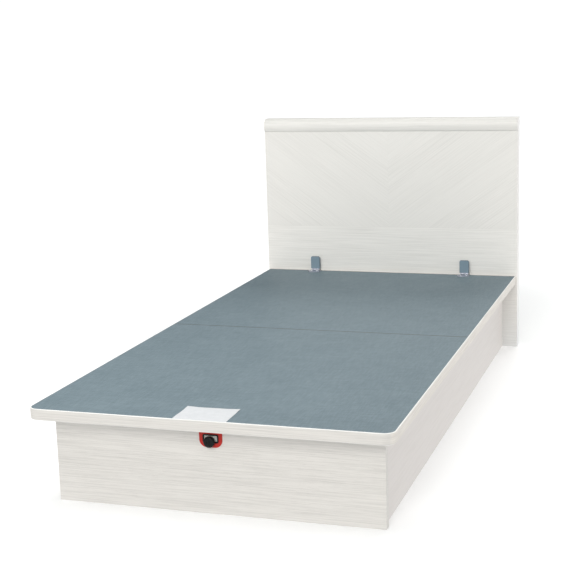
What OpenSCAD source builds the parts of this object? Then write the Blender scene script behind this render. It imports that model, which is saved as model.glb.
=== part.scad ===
// Storage platform bed, single, with a gas-lift lid that opens from the foot.
// Millimetres. +X across the bed, +Y towards the headboard, +Z up. The origin lies on the
// floor, at the centre of the bed's plan. The lid is drawn shut.

/* [Lid] */
// Lid width, the width of the mattress
lid_w = 970; // [800:5:1400]
// Lid length, the length of the mattress
lid_l = 1950; // [1700:5:2100]
// Lid thickness
lid_t = 30; // [20:1:45]
// Plan radius of the two foot corners
lid_corner_r = 30; // [10:1:80]
// Thickness of the textured sheet on the lid's top
sheet_t = 1.5; // [0.8:0.1:3]
// Thickness of the edge band round the lid
band_t = 3; // [2:0.5:5]
// Rounding of the band's upper and lower edges
band_r = 2.5; // [1:0.5:4]
// Gap between the two lid boards at mid length
seam_gap = 0.8; // [0.2:0.1:2]

/* [Box] */
// Outer width over the foot panel
box_w = 890; // [700:5:1300]
// Height of the foot and side panels
box_h = 240; // [180:1:380]
// Foot panel set back from the lid's foot edge
foot_setback = 78; // [20:1:150]
// Foot panel thickness
foot_t = 22; // [15:1:30]
// Side panel thickness
side_t = 18; // [12:1:25]
// Side panels set in from the ends of the foot panel
side_inset = 10; // [0:1:20]
// Rounded upper edge of the panels
panel_edge_r = 2; // [1:0.5:4]
// Height of the rubber bumpers between the panels and the lid
bump_h = 2; // [1:0.5:5]

/* [Headboard] */
// Headboard width
head_w = 980; // [800:5:1400]
// Headboard height over its cap
head_h = 862; // [600:1:1100]
// Headboard thickness
head_t = 45; // [25:1:70]
// Gap between the lid and the headboard
head_gap = 5; // [3:1:15]
// Height of the cap moulding
cap_h = 48; // [36:1:80]
// Cap standing proud of the headboard's face
cap_proud = 8; // [2:1:20]
// Rounding of the cap's upper front edge
cap_r = 26; // [6:1:30]
// Rounding of the cap's lower front edge
cap_low_r = 5; // [2:0.5:6]
// Height where the chevron field starts
chevron_z = 445; // [300:5:600]
// Depth of the pressed line under the chevron
groove_d = 0.5; // [0.3:0.1:2]

/* [Bottom] */
// Height of the floor cleats
cleat_h = 16; // [10:1:30]
// Width of the cleats along the panels
cleat_w = 20; // [12:1:40]
// Width of the cleats under the joints of the bottom boards
joint_cleat_w = 40; // [24:1:60]
// Bottom board thickness
bottom_t = 4; // [2.5:0.5:9]
// Number of bottom boards
bottom_n = 3; // [2:1:4]
// Clearance of loose boards to the panels
board_gap = 0.5; // [0.2:0.1:3]
// Centre divider thickness
divider_t = 15; // [9:1:20]
// Divider's top under the top of the panels
divider_drop = 40; // [34:1:120]

/* [Lift mechanism] */
// Fixed pivot of the swing arm: distance from the headboard
pivot_u = 353; // [320:1:400]
// Fixed pivot of the swing arm: depth under the lid
pivot_drop = 154; // [130:1:170]
// Link pin between swing arm and lid arm: distance from the headboard
link_u = 150; // [130:1:180]
// Link pin: depth under the lid
link_drop = 20; // [16:1:42]
// Guide pin of the lid arm: distance from the headboard
guide_u = 60; // [50:1:80]
// Guide pin: depth under the lid
guide_drop = 92; // [72:1:120]
// Turn of the swing arm from shut to open, degrees
arm_turn = 35; // [20:1:40]
// Tilt of the lid from shut to open, degrees
lid_tilt = 35; // [20:1:40]
// Thickness of the steel plates
plate_t = 5; // [3:0.5:6]
// Room between base rail and lid arm
rail_gap = 3; // [2:0.5:5]
// Room between lid arm and swing arm
arm_gap = 3; // [2:0.5:5]
// Width of the swing arm
arm_w = 28; // [20:1:36]
// Radius of the link and pivot pins
pin_r = 6; // [4:0.5:8]
// Radius of the guide bush
bush_r = 8; // [6:0.5:10]
// Running clearance of pins in their holes
run_gap = 0.05; // [0.02:0.01:0.1]
// Clearance of the bush in its slot
slot_gap = 0.3; // [0.2:0.05:0.6]

/* [Gas spring] */
// Distance of both spring ends from the fixed pivot
spring_r = 180; // [150:1:200]
// Angle between the two spring ends at the pivot, lid shut
spring_angle = 50; // [44:1:60]
// Outer radius of the pressure tube
tube_r = 9; // [7:0.5:12]
// Wall of the pressure tube
tube_wall = 1.5; // [1:0.25:2.5]
// Radius of the piston rod
rod_r = 4; // [3:0.5:6]
// Length of the piston rod, piston to socket
rod_len = 112; // [100:1:116]
// Radius of the pins that carry the spring's ends
eye_pin_r = 5; // [4:0.5:6]
// Wall of the end eyelets round their pins
eye_wall = 3.5; // [2.5:0.5:5]
// Width of the end eyelets
eye_w = 10; // [8:1:14]
// Length of an eyelet from its pin to the tube or rod
socket_l = 14; // [12:1:18]
// Room between swing arm and tube
tube_gap = 3; // [2:0.5:6]

/* [Latch] */
// Latch plate width
latch_w = 62; // [50:1:80]
// Latch plate height
latch_h = 61; // [50:1:90]
// Centre of the latch, sideways
latch_x = -8; // [-20:1:20]
// Latch spindle under the top of the panels
latch_drop = 44; // [34:1:50]
// Latch plate thickness
latch_t = 2; // [1.5:0.5:3]
// Corner radius of the latch plate
latch_r = 20; // [10:1:28]
// Window width
window_w = 36; // [28:1:44]
// Window height
window_h = 16; // [12:1:20]
// Centre of the window over the spindle
window_rise = 5.5; // [0:0.5:8]
// Rim width round the window
rim_w = 3.5; // [2:0.5:5]
// Radius of the rim's boss round the spindle
boss_r = 12; // [9:0.5:14]
// Knob radius
knob_r = 15; // [12:0.5:18]
// Knob standing out of the plate
knob_out = 18; // [15:1:30]
// Radius of the knob's neck
knob_neck_r = 6.5; // [5:0.5:8]
// Spindle radius
spindle_r = 4; // [3:0.5:6]
// Cam length from the spindle
cam_l = 34; // [26:1:36]

/* [Mattress stops] */
// Distance of each stop from the middle
stop_x = 293; // [150:1:400]
// Width of the stop's sleeve
stop_w = 36; // [25:1:60]
// Width of the stop's foot
stop_foot_w = 44; // [30:1:70]
// Stop height over the lid
stop_h = 56; // [30:1:90]
// Thickness of the stop's sleeve
stop_t = 8; // [6:0.5:12]
// Thickness of the stop's steel
stop_steel = 3; // [2:0.5:4]
// Length of the stop's foot on the lid
stop_foot = 40; // [25:1:60]
// Outer radius of the stop's bend
stop_bend = 6; // [5:0.5:8]
// Sleeve's lower edge over the lid
stop_rise = 9; // [8:1:16]

/* [Battens] */
// Height of the battens under the lid
batten_h = 25; // [18:1:35]
// Width of the long battens
batten_w = 30; // [20:1:50]
// Centre of the long battens, sideways
batten_x = 345; // [250:1:350]
// Width of the middle batten under the seam
mid_batten_w = 100; // [60:1:140]

/* [Hidden] */
$fn = 48;
lid_z = box_h + bump_h;
lid_top = lid_z + lid_t;
board_z = lid_z;
board_t = lid_t - sheet_t;
total_l = lid_l + head_gap + head_t;
foot_y = -total_l / 2;
head_y = total_l / 2 - head_t;
lid_head_y = head_y - head_gap;
seam_y = foot_y + lid_l / 2;
panel_y = foot_y + foot_setback;
inner_y = panel_y + foot_t;
side_x = box_w / 2 - side_inset;
inner_x = side_x - side_t;
floor_z = cleat_h + bottom_t;
divider_top = box_h - divider_drop;
latch_z = box_h - latch_drop;
latch_z0 = box_h - 1 - latch_h;
rail_x = inner_x - plate_t;
lid_arm_x = rail_x - rail_gap - plate_t;
swing_x = lid_arm_x - arm_gap - plate_t;
spring_x = swing_x - tube_gap - tube_r;
screw_r = 2.5;
screw_head_r = 4.5;
screw_head_t = 2.2;
batten_z = board_z - batten_h;
batten_u1 = head_y - inner_y - 35;
cross_span = 2 * batten_x - batten_w;
keeper_y = inner_y + 14;

// Distance u from the headboard and height over the lid's underside, as a point [y, z].
function at_u(p) = [head_y - p[0], lid_z + p[1]];
function turn(v, a) = [cos(a) * v[0] - sin(a) * v[1], sin(a) * v[0] + cos(a) * v[1]];

// The linkage in such points; s runs from 0, shut, to 1, open.
pivot = [pivot_u, -pivot_drop];
link = [link_u, -link_drop];
guide = [guide_u, -guide_drop];
arm_v = link - pivot;
arm_dir = atan2(arm_v[1], arm_v[0]);
function link_at(s) = pivot + turn(arm_v, -arm_turn * s);
function guide_at(s) = link_at(s) + turn(guide - link, lid_tilt * s);
function guide_dir(s) = let (d = guide_at(s + 0.01) - guide_at(s - 0.01)) atan2(d[1], d[0]);
slot_n = 16;
slot_r = bush_r + slot_gap;

// Ends of the gas spring: both lie on one circle about the pivot, so that the spring turns
// at half the rate of the swing arm.
spring_low = pivot + turn([spring_r, 0], arm_dir + spring_angle);
spring_high = pivot + turn([spring_r, 0], arm_dir);
spring_v = at_u(spring_high) - at_u(spring_low);
spring_len = norm(spring_v);
spring_dir = atan2(spring_v[1], spring_v[0]);
tube_end = spring_len - socket_l - 6;

rail_screws_at = [[56, -180], [56, -124], [118, -30], [222, -20], [300, -198],
    [322, -92]];
bracket_z = [58, 158];
bracket_h = 140;
bracket_leg = 30;
bracket_t = 2.5;
cleat_screw_pitch = 300;

// ---------- shared shapes ----------

// A flat shape drawn in [y, z], thickened from x to x + t.
module in_side(x, t) {
    translate([x, 0, 0]) rotate([90, 0, 90]) linear_extrude(t) children();
}

// A round bar across the bed, from x to x + l, at p.
module cross_rod(p, x, l, r) {
    translate([x, at_u(p)[0], at_u(p)[1]]) rotate([0, 90, 0]) cylinder(h = l, r = r);
}

// Both sides of the bed.
module both_sides() {
    children();
    mirror([1, 0, 0]) children();
}

// A pan-head screw along +Z, its head under z = 0 and its shank above.
module screw(l, r = screw_r, hr = screw_head_r, ht = screw_head_t) {
    rotate_extrude()
        polygon([[0, -ht], [hr - 1, -ht], [hr, -ht + 1], [hr, 0], [r, 0], [r, l - r],
            [0, l]]);
}

// The hole that such a screw cuts.
module screw_hole(l, r = screw_r) {
    translate([0, 0, -0.01]) cylinder(h = l + 0.5, r = r + run_gap);
}

// A board standing along X, thickness t in Y, its upper edges rounded.
module edge_board(w, t, h) {
    rotate([90, 0, 90]) translate([0, 0, -w / 2]) linear_extrude(w) {
        square([t, h - panel_edge_r]);
        translate([panel_edge_r, h - 2 * panel_edge_r])
            square([t - 2 * panel_edge_r, 2 * panel_edge_r]);
        for (y = [panel_edge_r, t - panel_edge_r])
            translate([y, h - panel_edge_r]) circle(panel_edge_r);
    }
}

// ---------- headboard ----------

module headboard_panel() {
    color([0.89, 0.88, 0.85]) difference() {
        translate([-head_w / 2, head_y, 0]) cube([head_w, head_t, head_h - cap_h]);
        translate([-head_w / 2 - 1, head_y - 1, chevron_z])
            cube([head_w + 2, 1 + groove_d, 2]);
        corner_screw_set() screw_hole(28);
    }
}

module headboard_cap() {
    t = head_t + cap_proud;
    color([0.9, 0.89, 0.86])
        translate([0, head_y - cap_proud, head_h - cap_h])
            rotate([90, 0, 90]) translate([0, 0, -head_w / 2]) linear_extrude(head_w) {
                translate([cap_r, 0]) square([t - cap_r, cap_h]);
                translate([cap_low_r, 0]) square([cap_r, cap_low_r]);
                translate([0, cap_low_r]) square([cap_r, cap_h - cap_r - cap_low_r]);
                intersection() {
                    translate([cap_r, cap_h - cap_r]) circle(cap_r);
                    translate([0, cap_h - cap_r]) square(cap_r);
                }
                translate([cap_low_r, cap_low_r]) circle(cap_low_r);
            }
}

// ---------- box ----------

// Left is the -X side.
module side_panel_right() {
    color([0.85, 0.83, 0.8]) difference() {
        translate([inner_x + side_t / 2, (inner_y + head_y) / 2, 0]) rotate([0, 0, 90])
            translate([0, -side_t / 2, 0]) edge_board(head_y - inner_y, side_t, box_h);
        for (p = rail_screws_at) cross_rod(p, inner_x - 1, 13, screw_r + run_gap);
        corner_screw_set() screw_hole(14);
        divider_screw_set() screw_hole(12);
        for (y = bumper_side_y()) translate([inner_x + side_t / 2, y, box_h - 10])
            cylinder(h = 12, r = 3 + run_gap);
        cross_rod(pivot, inner_x - 1, 9, pin_r + 1);
        cross_rod(spring_low, inner_x - 1, 9, eye_pin_r + 1);
    }
}

module side_panel_left() { mirror([1, 0, 0]) side_panel_right(); }

module foot_panel() {
    color([0.89, 0.88, 0.86]) difference() {
        translate([0, panel_y, 0]) edge_board(box_w, foot_t, box_h);
        translate([latch_x, panel_y - 1, latch_z]) rotate([-90, 0, 0])
            cylinder(h = foot_t + 2, r = spindle_r + run_gap);
        corner_screw_set() screw_hole(16);
        latch_screw_set() screw_hole(14, 1.5);
        for (x = bumper_foot_x()) translate([x, panel_y + foot_t / 2, box_h - 10])
            cylinder(h = 12, r = 3 + run_gap);
    }
}

module floor_cleats() {
    color([0.78, 0.66, 0.48]) {
        both_sides() translate([inner_x - cleat_w, inner_y + cleat_w, 0])
            cube([cleat_w, head_y - inner_y - 2 * cleat_w, cleat_h]);
        for (y = [inner_y, head_y - cleat_w]) translate([-inner_x, y, 0])
            cube([2 * inner_x, cleat_w, cleat_h]);
    }
}

function joint_y(i) = inner_y + (head_y - inner_y) * i / bottom_n;

module joint_cleats() {
    w = 2 * (inner_x - cleat_w);
    color([0.78, 0.66, 0.48])
        for (i = [1 : bottom_n - 1])
            translate([-w / 2, joint_y(i) - joint_cleat_w / 2, 0])
                cube([w, joint_cleat_w, cleat_h]);
}

module bottom_board(i) {
    y0 = joint_y(i) + board_gap;
    y1 = joint_y(i + 1) - board_gap;
    color([0.86, 0.84, 0.8])
        translate([-inner_x + board_gap, y0, cleat_h])
            cube([2 * (inner_x - board_gap), y1 - y0, bottom_t]);
}

module bottom_board_foot() { bottom_board(0); }

// With two bottom boards this one is left empty; with more it holds all between the ends.
module bottom_board_middle() { for (i = [1 : 1 : bottom_n - 2]) bottom_board(i); }

module bottom_board_head() { bottom_board(bottom_n - 1); }

divider_y = (inner_y + head_y) / 2;

module centre_divider() {
    color([0.88, 0.87, 0.84]) difference() {
        translate([-inner_x + board_gap, divider_y, floor_z])
            cube([2 * (inner_x - board_gap), divider_t, divider_top - floor_z]);
        divider_screw_set() screw_hole(11);
        // Finger holes at the top, to lift the divider out
        translate([0, divider_y - 1, divider_top]) rotate([-90, 0, 0])
            cylinder(h = divider_t + 2, r = 24);
    }
}

// An angle of bent strip, its outer corner on the Z axis: legs along X and Y, bent round r.
module l_bracket(leg_a, leg_b, h, t, r = 4) {
    linear_extrude(h) {
        translate([r, 0]) square([leg_a - r, t]);
        translate([0, r]) square([t, leg_b - r]);
        translate([r, r]) intersection() {
            difference() {
                circle(r);
                circle(r - t);
            }
            translate([-r, -r]) square(r);
        }
    }
}

divider_bracket_z = [60, 150];

module divider_brackets() {
    color([0.7, 0.72, 0.74]) both_sides() for (z = divider_bracket_z)
        difference() {
            translate([inner_x, divider_y, z - 12]) mirror([1, 0, 0]) mirror([0, 1, 0])
                l_bracket(25, 25, 24, 2);
            divider_screw_set() screw_hole(11);
        }
}

// Screws of the right side's divider brackets: into the side panel and into the divider.
module divider_screw_set() {
    both_sides() for (z = divider_bracket_z) {
        translate([inner_x - 2, divider_y - 14, z]) rotate([0, 90, 0]) children();
        translate([inner_x - 14, divider_y - 2, z]) rotate([-90, 0, 0]) children();
    }
}

module corner_bracket(x_side, head_end) {
    y = head_end ? head_y : inner_y;
    color([0.68, 0.7, 0.72]) difference() {
        translate([x_side * inner_x, y, bracket_z[0] - 20])
            mirror([x_side > 0 ? 1 : 0, 0, 0]) mirror([0, head_end ? 1 : 0, 0])
                l_bracket(bracket_leg, bracket_leg, bracket_h, bracket_t);
        corner_screw_set() screw_hole(16);
    }
}

module corner_bracket_head_left() { corner_bracket(-1, true); }

module corner_bracket_head_right() { corner_bracket(1, true); }

module corner_bracket_foot_left() { corner_bracket(-1, false); }

module corner_bracket_foot_right() { corner_bracket(1, false); }

// Two screws through each leg of the four corner brackets.
module corner_screw_set() {
    both_sides() for (z = bracket_z) {
        for (y = [inner_y + 18, head_y - 18])
            translate([inner_x - bracket_t, y, z]) rotate([0, 90, 0]) children();
        translate([inner_x - 18, head_y - bracket_t, z]) rotate([-90, 0, 0]) children();
        translate([inner_x - 18, inner_y + bracket_t, z]) rotate([90, 0, 0]) children();
    }
}

module bracket_screws() {
    color([0.75, 0.76, 0.78]) {
        divider_screw_set() screw(11);
        corner_screw_set() screw(14);
    }
}

function bumper_side_y() = [inner_y + 160, inner_y + 620, head_y - 700, head_y - 420];
function bumper_foot_x() = [-box_w / 2 + 70, box_w / 2 - 70];

// Rubber bumpers: a pad between panel and lid, and a stem in the panel.
module bumper() {
    translate([0, 0, -8]) cylinder(h = 8 + bump_h, r = 3);
    cylinder(h = bump_h, r = 6);
}

module lid_bumpers() {
    color([0.12, 0.12, 0.12]) {
        both_sides() for (y = bumper_side_y())
            translate([inner_x + side_t / 2, y, box_h]) bumper();
        for (x = bumper_foot_x()) translate([x, panel_y + foot_t / 2, box_h]) bumper();
    }
}

// ---------- lift mechanism ----------

// Steel base rail, with the curved slot that guides the lid arm.
module base_rail_right() {
    color([0.2, 0.2, 0.21]) difference() {
        in_side(rail_x, plate_t) difference() {
            hull() {
                for (c = [[50, -205, 13], [50, -70, 13], [90, -22, 13], [232, -22, 13],
                        [354, -132, 20], [352, -196, 13]])
                    translate(at_u([c[0], c[1]])) circle(c[2], $fn = 32);
            }
            polygon(concat(
                [for (i = [0 : slot_n]) at_u(guide_at(i / slot_n)
                    + turn([0, slot_r], guide_dir(i / slot_n)))],
                [for (i = [slot_n : -1 : 0]) at_u(guide_at(i / slot_n)
                    - turn([0, slot_r], guide_dir(i / slot_n)))]));
            polygon([at_u([82, -182]), at_u([150, -182]), at_u([150, -122]),
                at_u([82, -122])]);
            polygon([at_u([215, -182]), at_u([318, -182]), at_u([280, -92]),
                at_u([215, -92])]);
        }
        cross_rod(guide_at(0), rail_x - 1, plate_t + 2, slot_r);
        cross_rod(guide_at(1), rail_x - 1, plate_t + 2, slot_r);
        cross_rod(pivot, rail_x - 1, plate_t + 2, pin_r + run_gap);
        cross_rod(spring_low, rail_x - 1, plate_t + 2, eye_pin_r + run_gap);
        for (p = rail_screws_at) cross_rod(p, rail_x - 1, plate_t + 2, screw_r + run_gap);
    }
}

module base_rail_left() { mirror([1, 0, 0]) base_rail_right(); }

module rail_screws() {
    color([0.75, 0.76, 0.78]) both_sides() for (p = rail_screws_at)
        translate([rail_x, at_u(p)[0], at_u(p)[1]]) rotate([0, 90, 0]) screw(16);
}

// Fixed pivot pins: nut, shank through the rail, shoulder, running journal and head.
module pivot_pins() {
    color([0.8, 0.8, 0.82]) both_sides()
        translate([0, at_u(pivot)[0], at_u(pivot)[1]]) rotate([0, 90, 0]) {
            translate([0, 0, swing_x - 3.5]) cylinder(h = 3.2, r = pin_r + 4);
            translate([0, 0, swing_x - 0.4])
                cylinder(h = rail_x + plate_t + 2 - swing_x, r = pin_r);
            translate([0, 0, swing_x + plate_t + 0.3])
                cylinder(h = rail_x - swing_x - plate_t - 0.3, r = pin_r + 3);
        }
}

// Pin along +X for an eyelet of the gas spring at p, riveted to the plate at x.
module eye_pin(p, x) {
    e = spring_x + eye_w / 2;
    translate([0, at_u(p)[0], at_u(p)[1]]) rotate([0, 90, 0]) {
        translate([0, 0, e - eye_w - 2.3]) cylinder(h = 2, r = eye_pin_r + 2);
        translate([0, 0, e - eye_w - 0.4])
            cylinder(h = x + plate_t + 0.8 - e + eye_w, r = eye_pin_r);
        translate([0, 0, e + 0.3]) cylinder(h = x - e - 0.3, r = eye_pin_r + 2.5);
    }
}

module lower_spring_pins() {
    color([0.8, 0.8, 0.82]) both_sides() eye_pin(spring_low, rail_x);
}

module swing_arm_right() {
    a = at_u(pivot);
    b = at_u(link);
    color([0.22, 0.22, 0.23]) difference() {
        in_side(swing_x, plate_t) {
            translate(a) circle(arm_w / 2);
            translate(b) circle(arm_w / 2);
            translate(a) rotate(atan2(b[1] - a[1], b[0] - a[0]))
                translate([0, -arm_w / 2]) square([norm(b - a), arm_w]);
        }
        cross_rod(pivot, swing_x - 1, plate_t + 2, pin_r + run_gap);
        cross_rod(link, swing_x - 1, plate_t + 2, pin_r + run_gap);
        cross_rod(spring_high, swing_x - 1, plate_t + 2, eye_pin_r + run_gap);
    }
}

module swing_arm_left() { mirror([1, 0, 0]) swing_arm_right(); }

// Rivets through swing arm and lid arm, with a washer between them.
module link_pins() {
    color([0.8, 0.8, 0.82]) both_sides()
        translate([0, at_u(link)[0], at_u(link)[1]]) rotate([0, 90, 0]) {
            translate([0, 0, swing_x - 2.5]) cylinder(h = 2.5, r = pin_r + 3);
            translate([0, 0, swing_x - 0.1])
                cylinder(h = lid_arm_x + plate_t - swing_x + 0.5, r = pin_r);
            translate([0, 0, swing_x + plate_t]) cylinder(h = arm_gap - 0.3, r = pin_r + 3);
            translate([0, 0, lid_arm_x + plate_t + 0.3]) cylinder(h = 1.5, r = pin_r + 3);
        }
}

module upper_spring_pins() {
    color([0.8, 0.8, 0.82]) both_sides() eye_pin(spring_high, swing_x);
}

// What lies along the gas spring: z = 0 at the pin of end p, +Z towards the other end.
module along_spring(p, back = false) {
    both_sides() translate([spring_x, at_u(p)[0], at_u(p)[1]])
        rotate([spring_dir - 90 + (back ? 180 : 0), 0, 0]) children();
}

module gas_tube() {
    color([0.1, 0.1, 0.11])
        translate([spring_x, at_u(spring_low)[0], at_u(spring_low)[1]])
        rotate([spring_dir - 90, 0, 0]) rotate_extrude()
            polygon([[0, socket_l], [tube_r - 2, socket_l], [tube_r, socket_l + 2],
                [tube_r, tube_end - 1], [tube_r - 1, tube_end], [rod_r + run_gap, tube_end],
                [rod_r + run_gap, tube_end - 8], [tube_r - tube_wall, tube_end - 8],
                [tube_r - tube_wall, socket_l + 4], [0, socket_l + 4]]);
}

module gas_tube_right() { gas_tube(); }

module gas_tube_left() { mirror([1, 0, 0]) gas_tube(); }

// Piston rod with its piston, drawn from the upper pin.
module gas_rod() {
    color([0.82, 0.82, 0.84])
        translate([spring_x, at_u(spring_high)[0], at_u(spring_high)[1]])
        rotate([spring_dir + 90, 0, 0]) {
            translate([0, 0, socket_l]) cylinder(h = rod_len, r = rod_r);
            translate([0, 0, socket_l + rod_len - 6])
                cylinder(h = 6, r = tube_r - tube_wall - run_gap);
        }
}

module gas_rod_right() { gas_rod(); }

module gas_rod_left() { mirror([1, 0, 0]) gas_rod(); }

// Eyelet on a pin, with its neck to the tube or the rod.
module eyelet() {
    difference() {
        union() {
            translate([-eye_w / 2, 0, 0]) rotate([0, 90, 0])
                cylinder(h = eye_w, r = eye_pin_r + eye_wall);
            cylinder(h = socket_l, r = eye_w / 2 - 1);
        }
        translate([-eye_w, 0, 0]) rotate([0, 90, 0])
            cylinder(h = 2 * eye_w, r = eye_pin_r + run_gap);
    }
}

module tube_eyelets() {
    color([0.15, 0.15, 0.16]) along_spring(spring_low) eyelet();
}

module rod_eyelets() {
    color([0.15, 0.15, 0.16]) along_spring(spring_high, true) eyelet();
}

// ---------- lid ----------

// One half of the lid in plan, from y0 to y1, inset from the lid's outer edges by the
// band; foot corners are round where foot is true. The seam edge isn't inset.
module lid_plan(foot) {
    x = lid_w / 2 - band_t;
    y0 = foot ? foot_y + band_t : seam_y + seam_gap / 2;
    y1 = foot ? seam_y - seam_gap / 2 : lid_head_y - band_t;
    r = foot ? lid_corner_r - band_t : 0;
    if (foot) {
        for (s = [-1, 1]) translate([s * (x - r), y0 + r]) circle(r);
        translate([-x + r, y0]) square([2 * (x - r), r]);
    }
    translate([-x, y0 + r]) square([2 * x, y1 - y0 - r]);
}

module lid_board(foot) {
    color([0.8, 0.7, 0.53]) difference() {
        translate([0, 0, board_z]) linear_extrude(board_t) lid_plan(foot);
        batten_screw_set() screw_hole(batten_h + 14);
        lid_arm_screw_set() screw_hole(16);
        stop_screw_set() screw_hole(14);
        keeper_screw_set() screw_hole(12);
    }
}

module lid_board_foot() { lid_board(true); }

module lid_board_head() { lid_board(false); }

module lid_sheet(foot) {
    color([0.5, 0.58, 0.62]) difference() {
        translate([0, 0, lid_top - sheet_t]) linear_extrude(sheet_t) lid_plan(foot);
        stop_screw_set() screw_hole(14);
    }
}

module lid_sheet_foot() { lid_sheet(true); }

module lid_sheet_head() { lid_sheet(false); }

// Section of the edge band: x counts outwards to the lid's edge at d, y is the height.
module band_section(d) {
    intersection() {
        translate([d - band_t, 0]) square([band_t, lid_t]);
        union() {
            translate([d - 3 * band_t, band_r]) square([3 * band_t, lid_t - 2 * band_r]);
            translate([d - 3 * band_t, 0]) square([3 * band_t - band_r, lid_t]);
            for (y = [band_r, lid_t - band_r]) translate([d - band_r, y]) circle(band_r);
        }
    }
}

// A straight run of the band along X, from x0 to x1, its outer face at y and facing -Y.
module band_run(x0, x1, y) {
    translate([x0, y, lid_z]) rotate([90, 0, 90]) mirror([1, 0, 0])
        linear_extrude(x1 - x0) band_section(0);
}

// A run of the band along Y on both sides, from y0 to y1.
module band_sides(y0, y1) {
    both_sides() translate([lid_w / 2, y1, lid_z]) rotate([90, 0, 0])
        linear_extrude(y1 - y0) band_section(0);
}

module edge_band_foot() {
    x = lid_w / 2;
    r = lid_corner_r;
    color([0.9, 0.88, 0.85]) {
        band_run(-x + r, x - r, foot_y);
        band_sides(foot_y + r, seam_y - seam_gap / 2);
        both_sides() translate([x - r, foot_y + r, lid_z]) rotate([0, 0, 270])
            rotate_extrude(angle = 90) band_section(r);
    }
}

module edge_band_head() {
    x = lid_w / 2;
    color([0.9, 0.88, 0.85]) {
        rotate([0, 0, 180]) band_run(-x + band_t, x - band_t, -lid_head_y);
        band_sides(seam_y + seam_gap / 2, lid_head_y);
    }
}

batten_y0 = head_y - batten_u1;
batten_y1 = lid_head_y - 28;

module long_batten_right() {
    color([0.8, 0.68, 0.5]) difference() {
        translate([batten_x - batten_w / 2, batten_y0, batten_z])
            cube([batten_w, batten_y1 - batten_y0, batten_h]);
        batten_screw_set() screw_hole(batten_h + 14);
    }
}

module long_batten_left() { mirror([1, 0, 0]) long_batten_right(); }

function cross_y() = [batten_y0 + batten_w / 2, (batten_y0 + seam_y) / 2,
    (seam_y + batten_y1) / 2, batten_y1 - batten_w / 2];

module cross_battens() {
    color([0.8, 0.68, 0.5]) difference() {
        for (y = cross_y()) translate([-cross_span / 2, y - batten_w / 2, batten_z])
            cube([cross_span, batten_w, batten_h]);
        batten_screw_set() screw_hole(batten_h + 14);
    }
}

module seam_batten() {
    color([0.8, 0.68, 0.5]) difference() {
        translate([-cross_span / 2, seam_y - mid_batten_w / 2, batten_z])
            cube([cross_span, mid_batten_w, batten_h]);
        batten_screw_set() screw_hole(batten_h + 14);
    }
}

// Screws up through the battens into the boards.
module batten_screw_set() {
    translate([0, 0, batten_z]) {
        for (s = [-1, 1], y = [batten_y0 + 60, (batten_y0 + seam_y) / 2, seam_y - 90,
                seam_y + 90, (seam_y + batten_y1) / 2, batten_y1 - 60])
            translate([s * batten_x, y]) children();
        for (x = [-0.35, 0, 0.35], y = cross_y()) translate([x * cross_span, y]) children();
        for (x = [-0.35, 0, 0.35], s = [-1, 1])
            translate([x * cross_span, seam_y + s * mid_batten_w / 4]) children();
    }
}

module batten_screws() {
    color([0.75, 0.76, 0.78]) batten_screw_set() screw(batten_h + 12);
}

lid_arm_u0 = 38;
lid_arm_u1 = 400;
flange_t = 4;
flange_w = 36;
flange_z = board_z - flange_t;

// Steel lid arm: a flange under the board, a web beside it and a lobe to the guide pin.
module lid_arm_right() {
    b = at_u(link);
    r = at_u(guide);
    web_z = -flange_t / 2;
    lobe = atan2(b[1] - r[1], b[0] - r[0]);
    color([0.22, 0.22, 0.23]) difference() {
        union() {
            in_side(lid_arm_x, plate_t) {
                polygon([at_u([lid_arm_u0 + 4, web_z]), at_u([lid_arm_u0 + 4, -28]),
                    r + turn([0, -arm_w / 2], lobe), r + turn([0, arm_w / 2], lobe),
                    at_u([112, -38]), at_u([210, -38]), at_u([lid_arm_u1 - 4, -14]),
                    at_u([lid_arm_u1 - 4, web_z])]);
                translate(r) circle(arm_w / 2);
            }
            translate([lid_arm_x + plate_t - flange_w, at_u([lid_arm_u1, 0])[0], flange_z])
                cube([flange_w, lid_arm_u1 - lid_arm_u0, flange_t]);
        }
        cross_rod(link, lid_arm_x - 1, plate_t + 2, pin_r + run_gap);
        cross_rod(guide, lid_arm_x - 1, plate_t + 2, pin_r - 1 + run_gap);
        lid_arm_screw_set() screw_hole(16);
    }
}

module lid_arm_left() { mirror([1, 0, 0]) lid_arm_right(); }

module lid_arm_screw_set() {
    both_sides() for (u = [75, 155, 240, 320, 385])
        translate([lid_arm_x - flange_w / 2 + 8, at_u([u, 0])[0], flange_z]) children();
}

module lid_arm_screws() {
    color([0.75, 0.76, 0.78]) lid_arm_screw_set() screw(16);
}

// Guide pins: a shank through the lid arm, a collar and a journal for the bush.
module guide_pins() {
    color([0.8, 0.8, 0.82]) both_sides()
        translate([0, at_u(guide)[0], at_u(guide)[1]]) rotate([0, 90, 0]) {
            translate([0, 0, lid_arm_x - 2]) cylinder(h = 2, r = pin_r + 1.5);
            translate([0, 0, lid_arm_x - 0.5])
                cylinder(h = rail_x + plate_t - 0.8 - lid_arm_x, r = pin_r - 1);
            translate([0, 0, lid_arm_x + plate_t]) cylinder(h = rail_gap - 0.3, r = pin_r + 0.5);
        }
}

module guide_bushes() {
    color([0.92, 0.92, 0.9]) both_sides() difference() {
        cross_rod(guide, rail_x + 0.1, plate_t - 0.4, bush_r);
        cross_rod(guide, rail_x - 1, plate_t + 2, pin_r - 1 + run_gap);
    }
}

// ---------- mattress stops ----------

stop_y = lid_head_y - stop_t - 3;
stop_core_w = stop_w - 6;
stop_core_y = stop_y + (stop_t - stop_steel) / 2;
stop_core_h = stop_h - 4;

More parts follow.
